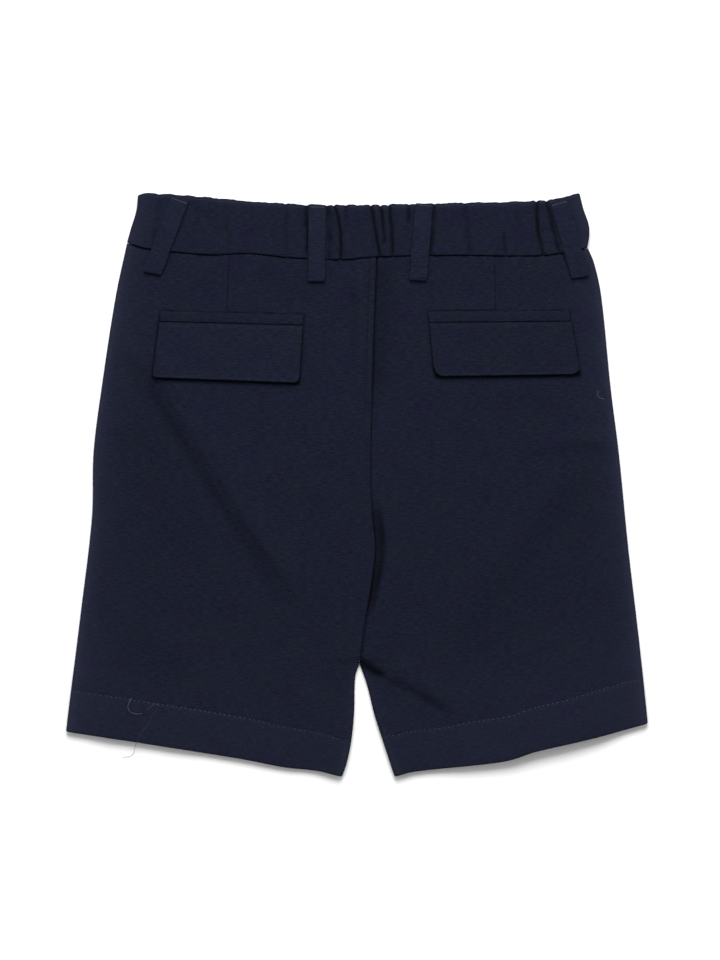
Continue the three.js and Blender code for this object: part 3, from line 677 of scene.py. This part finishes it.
def shell(name, outside, inside, bulge=(0, 0, 0, 0), shade=None):
    """A closed wall between two equal grids of points. bulge is how far its rims stand out at its
    top, its foot and its first and last columns."""
    rows, columns = outside.shape[:2]
    stands = np.zeros((rows, columns))
    stands[0], stands[-1] = bulge[0], bulge[1]
    for column, size in ((0, bulge[2]), (-1, bulge[3])):
        stands[1:-1, column] = size
        stands[[0, -1], column] = np.minimum(bulge[:2], size)

    index = np.arange(rows * columns).reshape(rows, columns)
    loop = np.concatenate((index[0], index[1:, -1], index[-1, -2::-1], index[-2:0:-1, 0]))
    flat_out, flat_in = outside.reshape(-1, 3), inside.reshape(-1, 3)
    middle = (flat_out[loop] + flat_in[loop]) / 2
    half = (flat_out[loop] - flat_in[loop]) / 2
    facing = np.sign(outside[0, -1, 0] - outside[0, 0, 0])
    outward = unit(np.cross(half, np.roll(middle, -1, axis=0) - np.roll(middle, 1, axis=0)))
    stand = facing * stands.reshape(-1)[loop][:, None] * outward
    angles = [math.pi * k / RIM_STEPS for k in range(1, RIM_STEPS)]
    rims = [middle + math.cos(a) * half + math.sin(a) * stand for a in angles]
    points = np.concatenate([flat_out, flat_in, *rims])

    above = np.stack((index[:-1, :-1], index[1:, :-1], index[1:, 1:], index[:-1, 1:]), axis=-1)
    above = above.reshape(-1, 4)
    below = above[:, ::-1] + rows * columns
    first_rim = 2 * rows * columns
    rings = [loop]
    rings += [first_rim + k * len(loop) + np.arange(len(loop)) for k in range(RIM_STEPS - 1)]
    rings.append(loop + rows * columns)
    faces = [above, below]
    for upper, lower in zip(rings, rings[1:]):
        faces.append(np.stack((upper, np.roll(upper, -1), np.roll(lower, -1), lower), axis=-1))
    faces = np.concatenate(faces)
    if facing < 0:
        faces = faces[:, ::-1]
    # The outside carries the painted shade and the painted highlight
    depth = np.zeros(len(points))
    if shade is not None:
        depth[: rows * columns] = shade.reshape(-1)
    weft, warp = grain_of(outside)
    place = np.stack((weft, warp, np.zeros_like(weft)), axis=-1).reshape(-1, 3)
    grain = np.concatenate([place, place + (0, 0, 40), *(place[loop] for _ in angles)])
    return mesh_piece(name, points, faces.tolist(), depth, grain)


def wall(name, x, y, under, top, bulge, shade=None):
    """A closed wall between two heights over the same points."""
    outside = np.stack((x, y, top), axis=-1)
    inside = np.stack((x, y, under), axis=-1)
    return shell(name, outside, inside, bulge, shade)


def grain_of(grid):
    """Where each point of a grid lies on the flat cloth, along its weft and along its warp."""
    middle = grid.shape[1] // 2
    run = np.linalg.norm(np.diff(grid, axis=1), axis=-1)
    weft = np.pad(np.cumsum(run, axis=1), ((0, 0), (1, 0)))
    facing = np.sign(grid[0, -1, 0] - grid[0, 0, 0])
    weft = grid[:, middle, 0][:, None] + facing * (weft - weft[:, middle][:, None])
    fall = np.linalg.norm(np.diff(grid[:, middle], axis=0), axis=-1)
    warp = grid[0, middle, 1] - np.pad(np.cumsum(fall), (1, 0))
    return weft, np.broadcast_to(warp[:, None], weft.shape)


def in_scene(name, data):
    thing = bpy.data.objects.new(name, data)
    bpy.context.scene.collection.objects.link(thing)
    return thing


def mesh_piece(name, points, faces, shade=None, grain=None):
    """A smooth piece from points in millimetres. Its shade and its grain are kept as attributes."""
    mesh = bpy.data.meshes.new(name)
    mesh.from_pydata((np.asarray(points) * MM).tolist(), [], faces)
    mesh.shade_smooth()
    mesh.set_sharp_from_angle(angle=math.radians(60))
    if shade is not None:
        depth = mesh.attributes.new("shade", "FLOAT", "POINT")
        depth.data.foreach_set("value", np.asarray(shade, dtype=np.float32))
    if grain is not None:
        lie = mesh.attributes.new("grain", "FLOAT_VECTOR", "POINT")
        lie.data.foreach_set("vector", np.asarray(grain * MM, dtype=np.float32).reshape(-1))
    return in_scene(name, mesh)


def tube(points, radius, sides=6):
    """Points and faces of a closed round strand along a line, pointed at its two ends."""
    points = np.asarray(points, float)
    along = unit(np.gradient(points, axis=0))
    beside = unit(np.cross(along, (0, 0, 1)))
    over = np.cross(beside, along)
    turn = np.linspace(0, 2 * math.pi, sides, endpoint=False)
    radii = np.full(len(points), radius)
    radii[[0, -1]] = radius * 0.6
    rings = points[:, None] + radii[:, None, None] * (
        np.cos(turn)[None, :, None] * beside[:, None] + np.sin(turn)[None, :, None] * over[:, None]
    )
    tips = [points[0] - along[0] * radius * 0.7, points[-1] + along[-1] * radius * 0.7]
    found = np.concatenate((rings.reshape(-1, 3), tips))
    start, end = len(found) - 2, len(found) - 1
    faces = []
    for i in range(len(points) - 1):
        for k in range(sides):
            a, b = i * sides + k, i * sides + (k + 1) % sides
            faces.append((a, b, b + sides, a + sides))
    last = (len(points) - 1) * sides
    for k in range(sides):
        faces.append((start, (k + 1) % sides, k))
        faces.append((end, last + k, last + (k + 1) % sides))
    return found, faces


def strands(name, lines, radius, dimness):
    """One piece made of many strands. dimness is how near each is to the cloth's own tone."""
    points, faces, shade = [], [], []
    count = 0
    for route, dim in zip(lines, dimness):
        found, sides = tube(route, radius)
        faces += [tuple(i + count for i in face) for face in sides]
        points.append(found)
        shade += [dim] * len(found)
        count += len(found)
    return mesh_piece(name, np.concatenate(points), faces, shade)


class Socket:
    """A socket of a shader tree. Arithmetic on it adds Math nodes to the same tree."""

    def __init__(self, paint, link):
        self.paint = paint
        self.link = link

    def math(self, operation, *values):
        return self.paint.add("ShaderNodeMath", {"operation": operation}, dict(enumerate(values)))

    def __add__(self, other):
        return self.math("ADD", self, other)

    def __sub__(self, other):
        return self.math("SUBTRACT", self, other)

    def __rsub__(self, other):
        return self.math("SUBTRACT", other, self)

    def __mul__(self, other):
        return self.math("MULTIPLY", self, other)

    __radd__ = __add__
    __rmul__ = __mul__

    def sine(self):
        return self.math("SINE", self)

    def between(self, low, high):
        """0 below the lower value and 1 above the higher one, smoothly between them."""
        settings = {"interpolation_type": "SMOOTHSTEP"}
        return self.paint.add("ShaderNodeMapRange", settings, {0: self, 1: low, 2: high})


class Paint:
    """A material's shader tree."""

    def __init__(self, name):
        self.material = bpy.data.materials.new(name)
        self.material.use_nodes = True
        self.tree = self.material.node_tree
        self.tree.nodes.clear()

    def add(self, kind, settings=None, sockets=None, output=0):
        """Adds a node: its settings first, then the values or links of its sockets."""
        node = self.tree.nodes.new(kind)
        for key, value in (settings or {}).items():
            setattr(node, key, value)
        for key, value in (sockets or {}).items():
            if isinstance(value, Socket):
                self.tree.links.new(value.link, node.inputs[key])
            else:
                node.inputs[key].default_value = value
        return Socket(self, node.outputs[output]) if len(node.outputs) else None

    def stretched(self, place, x, y, z):
        settings = {"operation": "MULTIPLY"}
        return self.add("ShaderNodeVectorMath", settings, {0: place, 1: (x, y, z)})

    def noise(self, place, detail=2.0, roughness=0.5):
        sockets = {"Vector": place, "Scale": 1.0, "Detail": detail, "Roughness": roughness}
        return self.add("ShaderNodeTexNoise", None, sockets)

    def blend(self, share, start, end):
        settings = {"data_type": "RGBA"}
        return self.add("ShaderNodeMix", settings, {0: share, 6: start, 7: end}, output=2)

    def scaled(self, colour, amount):
        return self.add("ShaderNodeVectorMath", {"operation": "SCALE"}, {0: colour, 3: amount})

    def attribute(self, name, output):
        return self.add("ShaderNodeAttribute", {"attribute_name": name}, output=output)

    def bump(self, height, strength, distance):
        sockets = {"Strength": strength, "Distance": distance, "Height": height}
        return self.add("ShaderNodeBump", None, sockets)

    def complete(self, sockets):
        """Ends the tree with a shader that has these sockets, and gives the material."""
        shader = self.add("ShaderNodeBsdfPrincipled", None, sockets)
        self.add("ShaderNodeOutputMaterial", None, {"Surface": shader})
        return self.material


def opaque(colour, tone=1.0):
    return (*(part * tone for part in colour), 1.0)


def wool(name, tone):
    """Worsted suiting: uneven threads across and along, lighter flecks, soft clouds of violet and
    slate in the dye, painted shade in its seams, creases and under its pocket flaps, and a painted
    highlight near its edges."""
    paint = Paint(name)
    place = paint.attribute("grain", 1)
    across = paint.noise(paint.stretched(place, 230, 1400, 100))
    along = paint.noise(paint.stretched(place, 1500, 330, 100))
    tangle = paint.noise(paint.stretched(place, 1300, 1500, 1500), 3.0, 0.6)
    cloud = paint.noise(paint.stretched(place, 60, 70, 50), 3.0, 0.5)
    flecks = tangle.between(0.54, 0.7) * across.between(0.42, 0.66)
    shade = paint.attribute("shade", 2)

    hue = cloud.between(0.34, 0.66)
    dye = paint.blend(hue, opaque(VIOLET_NAVY, tone), opaque(SLATE_NAVY, tone))
    threads = across.between(0.34, 0.66) * 0.4 + along.between(0.34, 0.66) * 0.22
    threads = threads + tangle.between(0.3, 0.7) * 0.26 + cloud * 0.3 + 0.41
    body = paint.blend(flecks * 0.4, paint.scaled(dye, threads), opaque(FLECK_NAVY, tone))
    # Painted highlight where the shade attribute is below 0
    lit = paint.blend(shade * -1.0, body, opaque(PAINTED_HIGHLIGHT_NAVY))
    # Painted shade where the shade attribute is above 0
    colour = paint.blend(shade, lit, opaque(PAINTED_SHADE_NAVY))

    pitch = 2 * math.pi / WEAVE_PITCH
    weft = paint.add("ShaderNodeSeparateXYZ", None, {0: paint.stretched(place, pitch, pitch, 0)})
    warp = Socket(paint, weft.link.node.outputs[1])
    weave = weft.sine() * warp.sine()
    relief = weave * 0.25 + across * 0.9 + along * 0.5 + tangle * 0.5
    return paint.complete({
        "Base Color": colour,
        "Roughness": 0.84 + tangle * 0.14,
        "Normal": paint.bump(relief, 0.5, 0.00012),
        "Specular IOR Level": 0.04,
        "Sheen Weight": 0.012,
        "Sheen Roughness": 0.5,
    })


def sewing_thread(name, tone):
    """Twisted polyester thread: a fine slant of light and dark."""
    paint = Paint(name)
    place = paint.add("ShaderNodeTexCoord", output=3)
    twist = paint.noise(paint.stretched(place, 2600, 2600, 2600), 1.0)
    dark, light = opaque(THREAD_NAVY, tone * 0.75), opaque(THREAD_NAVY, tone * 1.3)
    strand = paint.blend(twist.between(0.3, 0.7), dark, light)
    return paint.complete({
        "Base Color": paint.blend(paint.attribute("shade", 2), strand, opaque(FLECK_NAVY, 0.8)),
        "Roughness": 0.6 + twist * 0.1,
        "Normal": paint.bump(twist, 0.4, 0.00005),
        "Specular IOR Level": 0.3,
    })


def table_top():
    paint = Paint("table_top")
    place = paint.add("ShaderNodeTexCoord", output=3)
    cloud = paint.noise(paint.stretched(place, 3, 3, 3))
    colour = paint.blend(cloud * 0.3, opaque(FLOOR_WHITE), opaque(FLOOR_WHITE, 0.98))
    return paint.complete({"Base Color": colour, "Roughness": 0.9, "Specular IOR Level": 0.1})


def finished(piece, material):
    """Gives a piece its finish and lets it ride on the garment."""
    piece.data.materials.append(material)
    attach(piece, "root")
    return piece


def cut_piece(piece, material, width):
    """A piece of cloth in place of the solid of its name. Its flat width, in millimetres, is not
    used."""
    finished(piece, material)
    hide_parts(piece.name.removesuffix("_cloth"))
    width * MM
    return piece


# Rows and columns of the cloth's grids, closer where its sewing is fine
LEG_DOWN = [(0.03, 16), (0.9, 175), (0.94, 20), (1, 14)]
LEG_ACROSS = {
    "left": [(0.395, 44), (0.45, 30), (0.955, 60), (1, 14)],
    "right": [(0.4, 44), (0.48, 40), (0.955, 50), (1, 14)],
}
BAND_DOWN = [(0.06, 6), (0.9, 30), (1, 10)]
BAND_ACROSS = [(1, 520)]


def leg_grid(leg):
    """The flat stretch of a back leg, between the start of its side fold and of its inner edge."""
    def inner_inset(y):
        return mix(SEAM_ROLL, leg.fold(leg.inner(y), y), folded_at(y))

    edges = (
        lambda x: waist_seam(x) - SEAM / 2,
        lambda x: leg.hem(x) + HEM_ROLL,
        lambda y: leg.side(y) + leg.inward * leg.fold(leg.side(y), y),
        lambda y: leg.inner(y) - leg.inward * inner_inset(y),
    )
    return lay_out(edges, steps(LEG_ACROSS[leg.name]), steps(LEG_DOWN))


def wrapped(leg, x, y, z):
    """The flat stretch with its side fold and its inner edge."""
    first = fold_section(z[:, 0], leg.fold(x[:, 0], y[:, 0]))
    inseam = fold_section(z[:, -1], leg.fold(x[:, -1], y[:, -1]))
    last = mix_sections(seam_section(z[:, -1], SEAM_ROLL), inseam, folded_at(y[:, -1]))
    return with_edges(x, y, z, first, last)


def leg_thickness(leg, x, y):
    """The cloth of a leg, doubled where its hem is turned up."""
    depth = leg.hem_depth(x)
    return mix(CLOTH, HEM_CLOTH, smooth(y - leg.hem(x), depth + 0.5, depth - 0.5))


def back_leg(leg):
    x, y = leg_grid(leg)
    plain = wrapped(leg, x, y, plain_height(leg, x, y))
    outside = wrapped(leg, x, y, back_height(leg, x, y))
    shade = over_folds(back_shade(leg, x, y))
    # The side fold keeps only its painted highlight, no painted shade
    shade[:, :FOLD_STEPS] = np.minimum(shade[:, :FOLD_STEPS], 0)
    inside = inside_of(plain, over_folds(leg_thickness(leg, x, y))[..., None])
    return shell(f"back_{leg.name}_cloth", outside, inside, (0, HEM_ROLL, 0, 0), shade)


def front_leg(leg):
    """A front leg, flat on the table between the folds of the back."""
    def aside(y):
        return fade(y, CROTCH_Y + INSEAM_TURN, CROTCH_Y + 2 * INSEAM_TURN)

    def inner(y):
        in_fold = leg.inward * aside(y) * (leg.fold(leg.inner(y), y) + SEAM)
        return leg.inner(y) - in_fold + FRONT_ASIDE * (1 - aside(y))

    edges = (
        lambda x: waist_seam(x) + FRONT_ABOVE - SEAM / 2,
        lambda x: leg.hem(x) + FRONT_HEM_IN,
        lambda y: leg.side(y) + leg.inward * (leg.fold(leg.side(y), y) + SEAM),
        inner,
    )
    x, y = lay_out(edges, steps([(1, 70)]), steps([(0.9, 90), (1, 24)]))
    top = leg_thickness(leg, x, y) + 0.1 * ripple(x, y, 14, 11)
    return wall(f"front_{leg.name}_cloth", x, y, np.zeros_like(x), top, (0, 0.6, 0, 0))


def band_edges(inset, drop, above=0.0):
    """The band's edges, in from its ends, down from its top and up from its seam."""
    def scallops(x):
        notch = sum(
            drop * bell(x - top, reach) * (start < 0.1)
            for top, _, _, start, _, reach, drop in GATHERS
        )
        return SCALLOP * notch - 0.3 * ripple(x, 0, 11, 12) - 0.16 * ripple(x, 0, 4, 13)

    return (
        lambda x: band_top(x) - drop - scallops(x),
        lambda x: waist_seam(x) + above + SEAM / 2,
        lambda y: band_left(y) + inset,
        lambda y: band_right(y) - inset,
    )


def band_back():
    """The gathered band: its top rolled, its gathers drawn in, its foot sunk into the seam."""
    down = steps(BAND_DOWN)
    x, y = lay_out(band_edges(BAND_FOLD, BAND_ROLL), steps(BAND_ACROSS), down, BAND_MIDDLE)
    share = np.broadcast_to(down[:, None], x.shape)
    sunk = 0.7 * fade(share, 0, 0.05)
    sunk = sunk + 0.5 * smooth(share, 0.98 - 0.03 * ditch_spots(x), 1)
    fold = np.full(len(down), float(BAND_FOLD))

    def section(z):
        first, last = fold_section(z[:, 0], fold), fold_section(z[:, -1], fold)
        return with_edges(x, y, z, first, last)

    outside = section(band_height(x, y) - sunk)
    inside = inside_of(section(band_plain(x, y) - sunk * 0.5), BAND_CLOTH)
    gathered = gather_depth(x, y) * off_band_ends(x, y)
    inside[:, FOLD_STEPS:-FOLD_STEPS, 2] += 0.7 * np.minimum(gathered, 0)
    # Painted shade in the gathers' valleys and in the seam's ditch
    valley_shade = smooth(-gathered, 0.35, 1.6) * 0.7
    seam = ditch_shade(x) * smooth(share, 0.99 - 0.03 * ditch_spots(x), 1)
    # Painted highlight near the band's ends and along its top
    lit = highlight_near_edge(np.minimum(x - band_left(y), band_right(y) - x), 0.3, 0.12)
    lit = np.maximum(lit, 0.22 * np.exp(-(band_top(x) - y) / 1.6))
    shade = over_folds(np.maximum(valley_shade, seam) - lit)
    return shell("waistband_back_cloth", outside, inside, (BAND_ROLL, 0, 0, 0), shade)


def band_front():
    edges = band_edges(BAND_FOLD + SEAM, FRONT_TOP_IN, FRONT_ABOVE)
    x, y = lay_out(edges, steps([(1, 200)]), steps([(1, 24)]), BAND_MIDDLE)
    top = BAND_CLOTH + 0.12 * ripple(x, y * 0.3, 8, 14)
    return wall("waistband_front_cloth", x, y, np.zeros_like(x), top, (0.7, 0, 0, 0))


def loop_frame(top, foot, width):
    """A loop's start, the directions along and across it, its length, and half its width."""
    top, foot = np.array(top), np.array(foot)
    along = (foot - top) / np.linalg.norm(foot - top)
    across = np.array((-along[1], along[0]))
    return top, along, across, np.linalg.norm(foot - top), width / 2


def belt_loop(name, top, foot, width):
    """A strip folded in three, tacked at its top and turned under at its foot."""
    start, along, across, length, half = loop_frame(top, foot, width)
    roll = LOOP_CLOTH / 2
    shares, down = np.meshgrid(np.linspace(-1, 1, 21), np.linspace(0, 1, 50))
    aside = shares * (half - roll) + 0.12 * ripple(0, down * length, 12, 19)
    run = mix(roll / 2, length - roll, down) + FOOT_LEVEL * along[0] * aside * smooth(down, 0.6, 1)
    x = start[0] + along[0] * run + across[0] * aside
    y = start[1] + along[1] * run + across[1] * aside
    start_z, end_z = float(top_height(*top)), float(top_height(*foot))
    arch = LOOP_ARCH * np.sin(math.pi * down)
    under = mix(start_z, end_z, down) + LOOP_AIR + arch + 0.7 * smooth(down, 0.8, 1)
    pillow = 0.12 * (1 - shares**2) + 0.05 * ripple(x, y, 6, 15)
    ends = 0.35 * fade(run, 0, 3) + 0.15 * fade(length - run, 0, 2)
    over = under + LOOP_CLOTH + pillow - ends
    return wall(f"{name}_cloth", x, y, under, over, (0.4, roll, roll, roll))


def line(start, end):
    """y of a straight line at x."""
    return lambda x: start[1] + (x - start[0]) / (end[0] - start[0]) * (end[1] - start[1])


def upright(start, end):
    """x of a straight upright line at y."""
    return lambda y: start[0] + (y - start[1]) / (end[1] - start[1]) * (end[0] - start[0])


def pocket_welt(leg):
    """The narrow welt above the flap, rounded along its length."""
    welt, mouth = POCKETS[leg.name]["welt"], POCKETS[leg.name]["mouth"]
    roll = WELT_CLOTH / 2
    edges = (
        lambda x: line(*welt)(x) - roll,
        lambda x: line(*mouth)(x) + SEAM / 2 + roll,
        lambda y: upright(welt[0], mouth[0])(y) + roll,
        lambda y: upright(welt[1], mouth[1])(y) - roll,
    )
    x, y = lay_out(edges, steps([(1, 110)]), steps([(1, 10)]), welt[0][1])
    down = np.linspace(0, 1, 11)[:, None]
    under = plain_height(leg, x, y) + WELT_AIR
    crown = WELT_CLOTH * (0.78 + 0.22 * np.sin(math.pi * down)) + 0.05 * ripple(x, y, 9, 16)
    return wall(f"pocket_welt_{leg.name}_cloth", x, y, under, under + crown, (roll,) * 4)


def pocket_flap(leg):
    """The flap comes out from under the welt, bulges a little and stands off at its foot."""
    mouth, foot, radii = (POCKETS[leg.name][key] for key in ("mouth", "foot", "radii"))
    roll = FLAP_CLOTH / 2

    def rounded(radius, from_edge):
        short = np.clip(radius - from_edge, 0, radius)
        return radius - np.sqrt(radius * radius - short * short)

    edges = (
        lambda x: line(*mouth)(x) - SEAM / 2,
        lambda x: line(*foot)(x) + roll
        + rounded(radii[0], x - foot[0][0] - roll) + rounded(radii[1], foot[1][0] - roll - x),
        lambda y: upright(mouth[0], foot[0])(y) + roll,
        lambda y: upright(mouth[1], foot[1])(y) - roll,
    )
    width = foot[1][0] - foot[0][0] - 2 * roll
    turned = 1 - np.cos(np.linspace(0, math.pi / 2, 13)[:-1])
    first, last = radii[0] / width * turned, 1 - radii[1] / width * turned
    middle = np.linspace(radii[0] / width, 1 - radii[1] / width, 90)
    across = np.concatenate((first, middle, last[::-1]))
    down = steps([(0.12, 8), (1, 44)])
    x, y = lay_out(edges, across, down, mouth[0][1])
    share = np.broadcast_to(down[:, None], x.shape)
    from_side = np.minimum(across, 1 - across)[None, :] * FLAP_WIDTH
    from_foot = (1 - share) * FLAP_DEPTH
    lifted = 2.1 * smooth(share, 0, 1) * (0.75 + 0.25 * ripple(x, 0, 60, 17))
    under = plain_height(leg, x, y) + FLAP_AIR + lifted
    rise = mix(0.35, FLAP_CLOTH, smooth(share, 0, 0.1))
    pressed = 0.12 * bell(from_side - 5, 1.4) + 0.12 * np.exp(-((from_foot - 5) ** 2) / 2)
    top = under + rise - pressed + 0.06 * ripple(x, y, 15, 18)
    # Painted shadow under the welt at the flap's top, and a painted highlight along its foot
    shadow = 0.75 * fade(share, 0, 0.022)
    if leg is RIGHT:
        shadow = shadow * smooth(from_side, 0, 6)
    shade = shadow - 0.1 * np.exp(-from_foot / 0.8)
    return wall(f"pocket_flap_{leg.name}_cloth", x, y, under, top, (0, roll, roll, roll), shade)


def dashes(line_at, start, end, length, gap, height_at, seed):
    """Short stitches along a line, each dipping into the cloth at both ends."""
    draw = np.random.default_rng(seed)
    found = []
    x = start
    while x + length < end:
        run = length * draw.uniform(0.6, 1.2)
        t = np.linspace(0, 1, 5)
        across = x + run * t
        down = line_at(across) + draw.uniform(-0.25, 0.25) * (t - 0.5)
        sunk = -0.16 + 0.24 * np.sin(math.pi * t)
        found.append(np.stack((across, down, height_at(across, down) + sunk), axis=-1))
        x += run + gap * draw.uniform(0.7, 1.4)
    return found


def hem_stitches(leg):
    side = float(leg.side(-140)) + leg.inward * STITCHES_IN
    inner = float(leg.inner(-150)) - leg.inward * STITCHES_IN
    lines = dashes(
        lambda x: leg.hem(x) + leg.hem_depth(x), min(side, inner), max(side, inner), 1.3, 1.7,
        lambda x, y: back_height(leg, x, y), 21 if leg is LEFT else 22,
    )
    brightest = BRIGHT_STITCHES[leg.name]
    dimness = [0.72 - 0.52 * bell(route[0][0] - brightest, 46) for route in lines]
    return strands(f"hem_stitches_{leg.name}", lines, HEM_THREAD, dimness)


def ditch_stitches():
    """Stitches that sink into the ditch of the waist seam."""
    def on_band(x, y):
        return top_height(x, y - 0.8)

    lines = []
    for start, end, below, length, gap, seed in DITCH_STITCHES:
        lines += dashes(lambda x: waist_seam(x) - below, start, end, length, gap, on_band, seed)
    return strands("waist_stitches", lines, DITCH_THREAD, [0.7] * len(lines))


def bar_tack(name, top, foot, width, tack):
    """A close zigzag over the top of a loop."""
    start, along, across, _, half = loop_frame(top, foot, width)
    count = 26
    run = np.linspace(-0.8, 0.8, count) * half
    swing = tack + 0.3 * np.where(np.arange(count) % 2, 1, -1)
    x = start[0] + across[0] * run + along[0] * swing
    y = start[1] + across[1] * run + along[1] * swing
    z = float(top_height(*top)) + 0.5 + LOOP_CLOTH + LOOP_ARCH * 0.1 * np.ones(count)
    return strands(f"{name}_tack", [np.stack((x, y, z), axis=-1)], TACK_THREAD, [0])


def loose_thread(name, places):
    """A loose end of thread that lies on whatever is under it."""
    places = np.array(places, float)
    share = np.linspace(0, len(places) - 1, 8 * len(places))
    table_x = curve(list(enumerate(places[:, 0])))
    table_y = curve(list(enumerate(places[:, 1])))
    x, y = table_x(share), table_y(share)
    leg = LEFT if places[0, 0] < 0 else RIGHT
    on_leg = y > leg.hem(x)
    fall = smooth(y - leg.hem(x), -8, 0.5)
    height = np.where(on_leg, back_height(leg, x, np.maximum(y, leg.hem(x))), mix(0.2, 6.2, fall))
    z = height + THREAD / 2 + 0.25 * np.abs(np.sin(share * 1.7))
    thickness, dim = THIN_THREADS.get(name, (THREAD, 0))
    return strands(name, [np.stack((x, y, z), axis=-1)], thickness / 2, [dim])


def dressed():
    """Every piece of the garment with its finish."""
    cloth = wool("suiting", 1.0)
    loop_cloth = wool("suiting_loops", 1.16)
    flap_cloth = {
        "left": wool("suiting_flap_left", 1.03),
        "right": wool("suiting_flap_right", 0.96),
    }
    thread = sewing_thread("sewing_thread", 1.0)
    tack_thread = sewing_thread("tacking_thread", 1.15)
    for leg in LEGS:
        front = cut_piece(front_leg(leg), cloth, 192)
        back = cut_piece(back_leg(leg), cloth, 206)
        cut_piece(pocket_flap(leg), flap_cloth[leg.name], 98)
        cut_piece(pocket_welt(leg), cloth, 92)
        finished(hem_stitches(leg), thread)
    front = cut_piece(band_front(), cloth, 290)
    back = cut_piece(band_back(), cloth, 330)
    for name, (top, foot, width, tack) in LOOPS.items():
        loop, cut = belt_loop(name, top, foot, width), width + 1.8
        cut_piece(loop, loop_cloth, cut)
        finished(bar_tack(name, top, foot, width, tack), tack_thread)
    finished(ditch_stitches(), thread)
    for name, places in LOOSE_THREADS.items():
        finished(loose_thread(name, places), tack_thread)


def camera_overhead():
    """The camera looks straight down on the middle of the photograph's frame."""
    data = bpy.data.cameras.new("camera_overhead")
    data.sensor_width = SENSOR
    data.lens = SENSOR * CAMERA_HEIGHT / (PHOTO_HEIGHT * MM_PER_PIXEL)
    camera = in_scene("camera_overhead", data)
    camera.location = (VIEW_MIDDLE[0] * MM, VIEW_MIDDLE[1] * MM, (CAMERA_HEIGHT + CROWN) * MM)
    bpy.context.scene.camera = camera


def table():
    """A plain pale table top under the garment."""
    reach = 6000
    corners = [(-reach, -reach), (reach, -reach), (reach, reach), (-reach, reach)]
    top = mesh_piece("table_top", [(x, y, -0.15) for x, y in corners], [(0, 1, 2, 3)])
    top.data.materials.append(table_top())


def softbox(name, azimuth, elevation, size, power):
    """A square area light that faces the garment."""
    data = bpy.data.lights.new(name, "AREA")
    data.size = size * MM
    data.energy = power
    light = in_scene(name, data)
    turn, rise = math.radians(azimuth), math.radians(elevation)
    level, height = LIGHT_DISTANCE * math.cos(rise), LIGHT_DISTANCE * math.sin(rise)
    light.location = (level * math.sin(turn) * MM, level * math.cos(turn) * MM, height * MM)
    light.rotation_euler = (rise - math.pi / 2, 0, -turn)


def studio():
    """A soft light from the waist's side, weaker ones from both sides, and a white room."""
    for name, row in SOFTBOXES.items():
        softbox(name, *row)
    world = bpy.data.worlds.new("white_room")
    world.use_nodes = True
    background = world.node_tree.nodes["Background"].inputs
    background["Color"].default_value = (1, 1, 1, 1)
    background["Strength"].default_value = ROOM_LIGHT
    bpy.context.scene.world = world
    bpy.context.scene.view_settings.view_transform = "Standard"


camera_overhead()
table()
studio()
dressed()
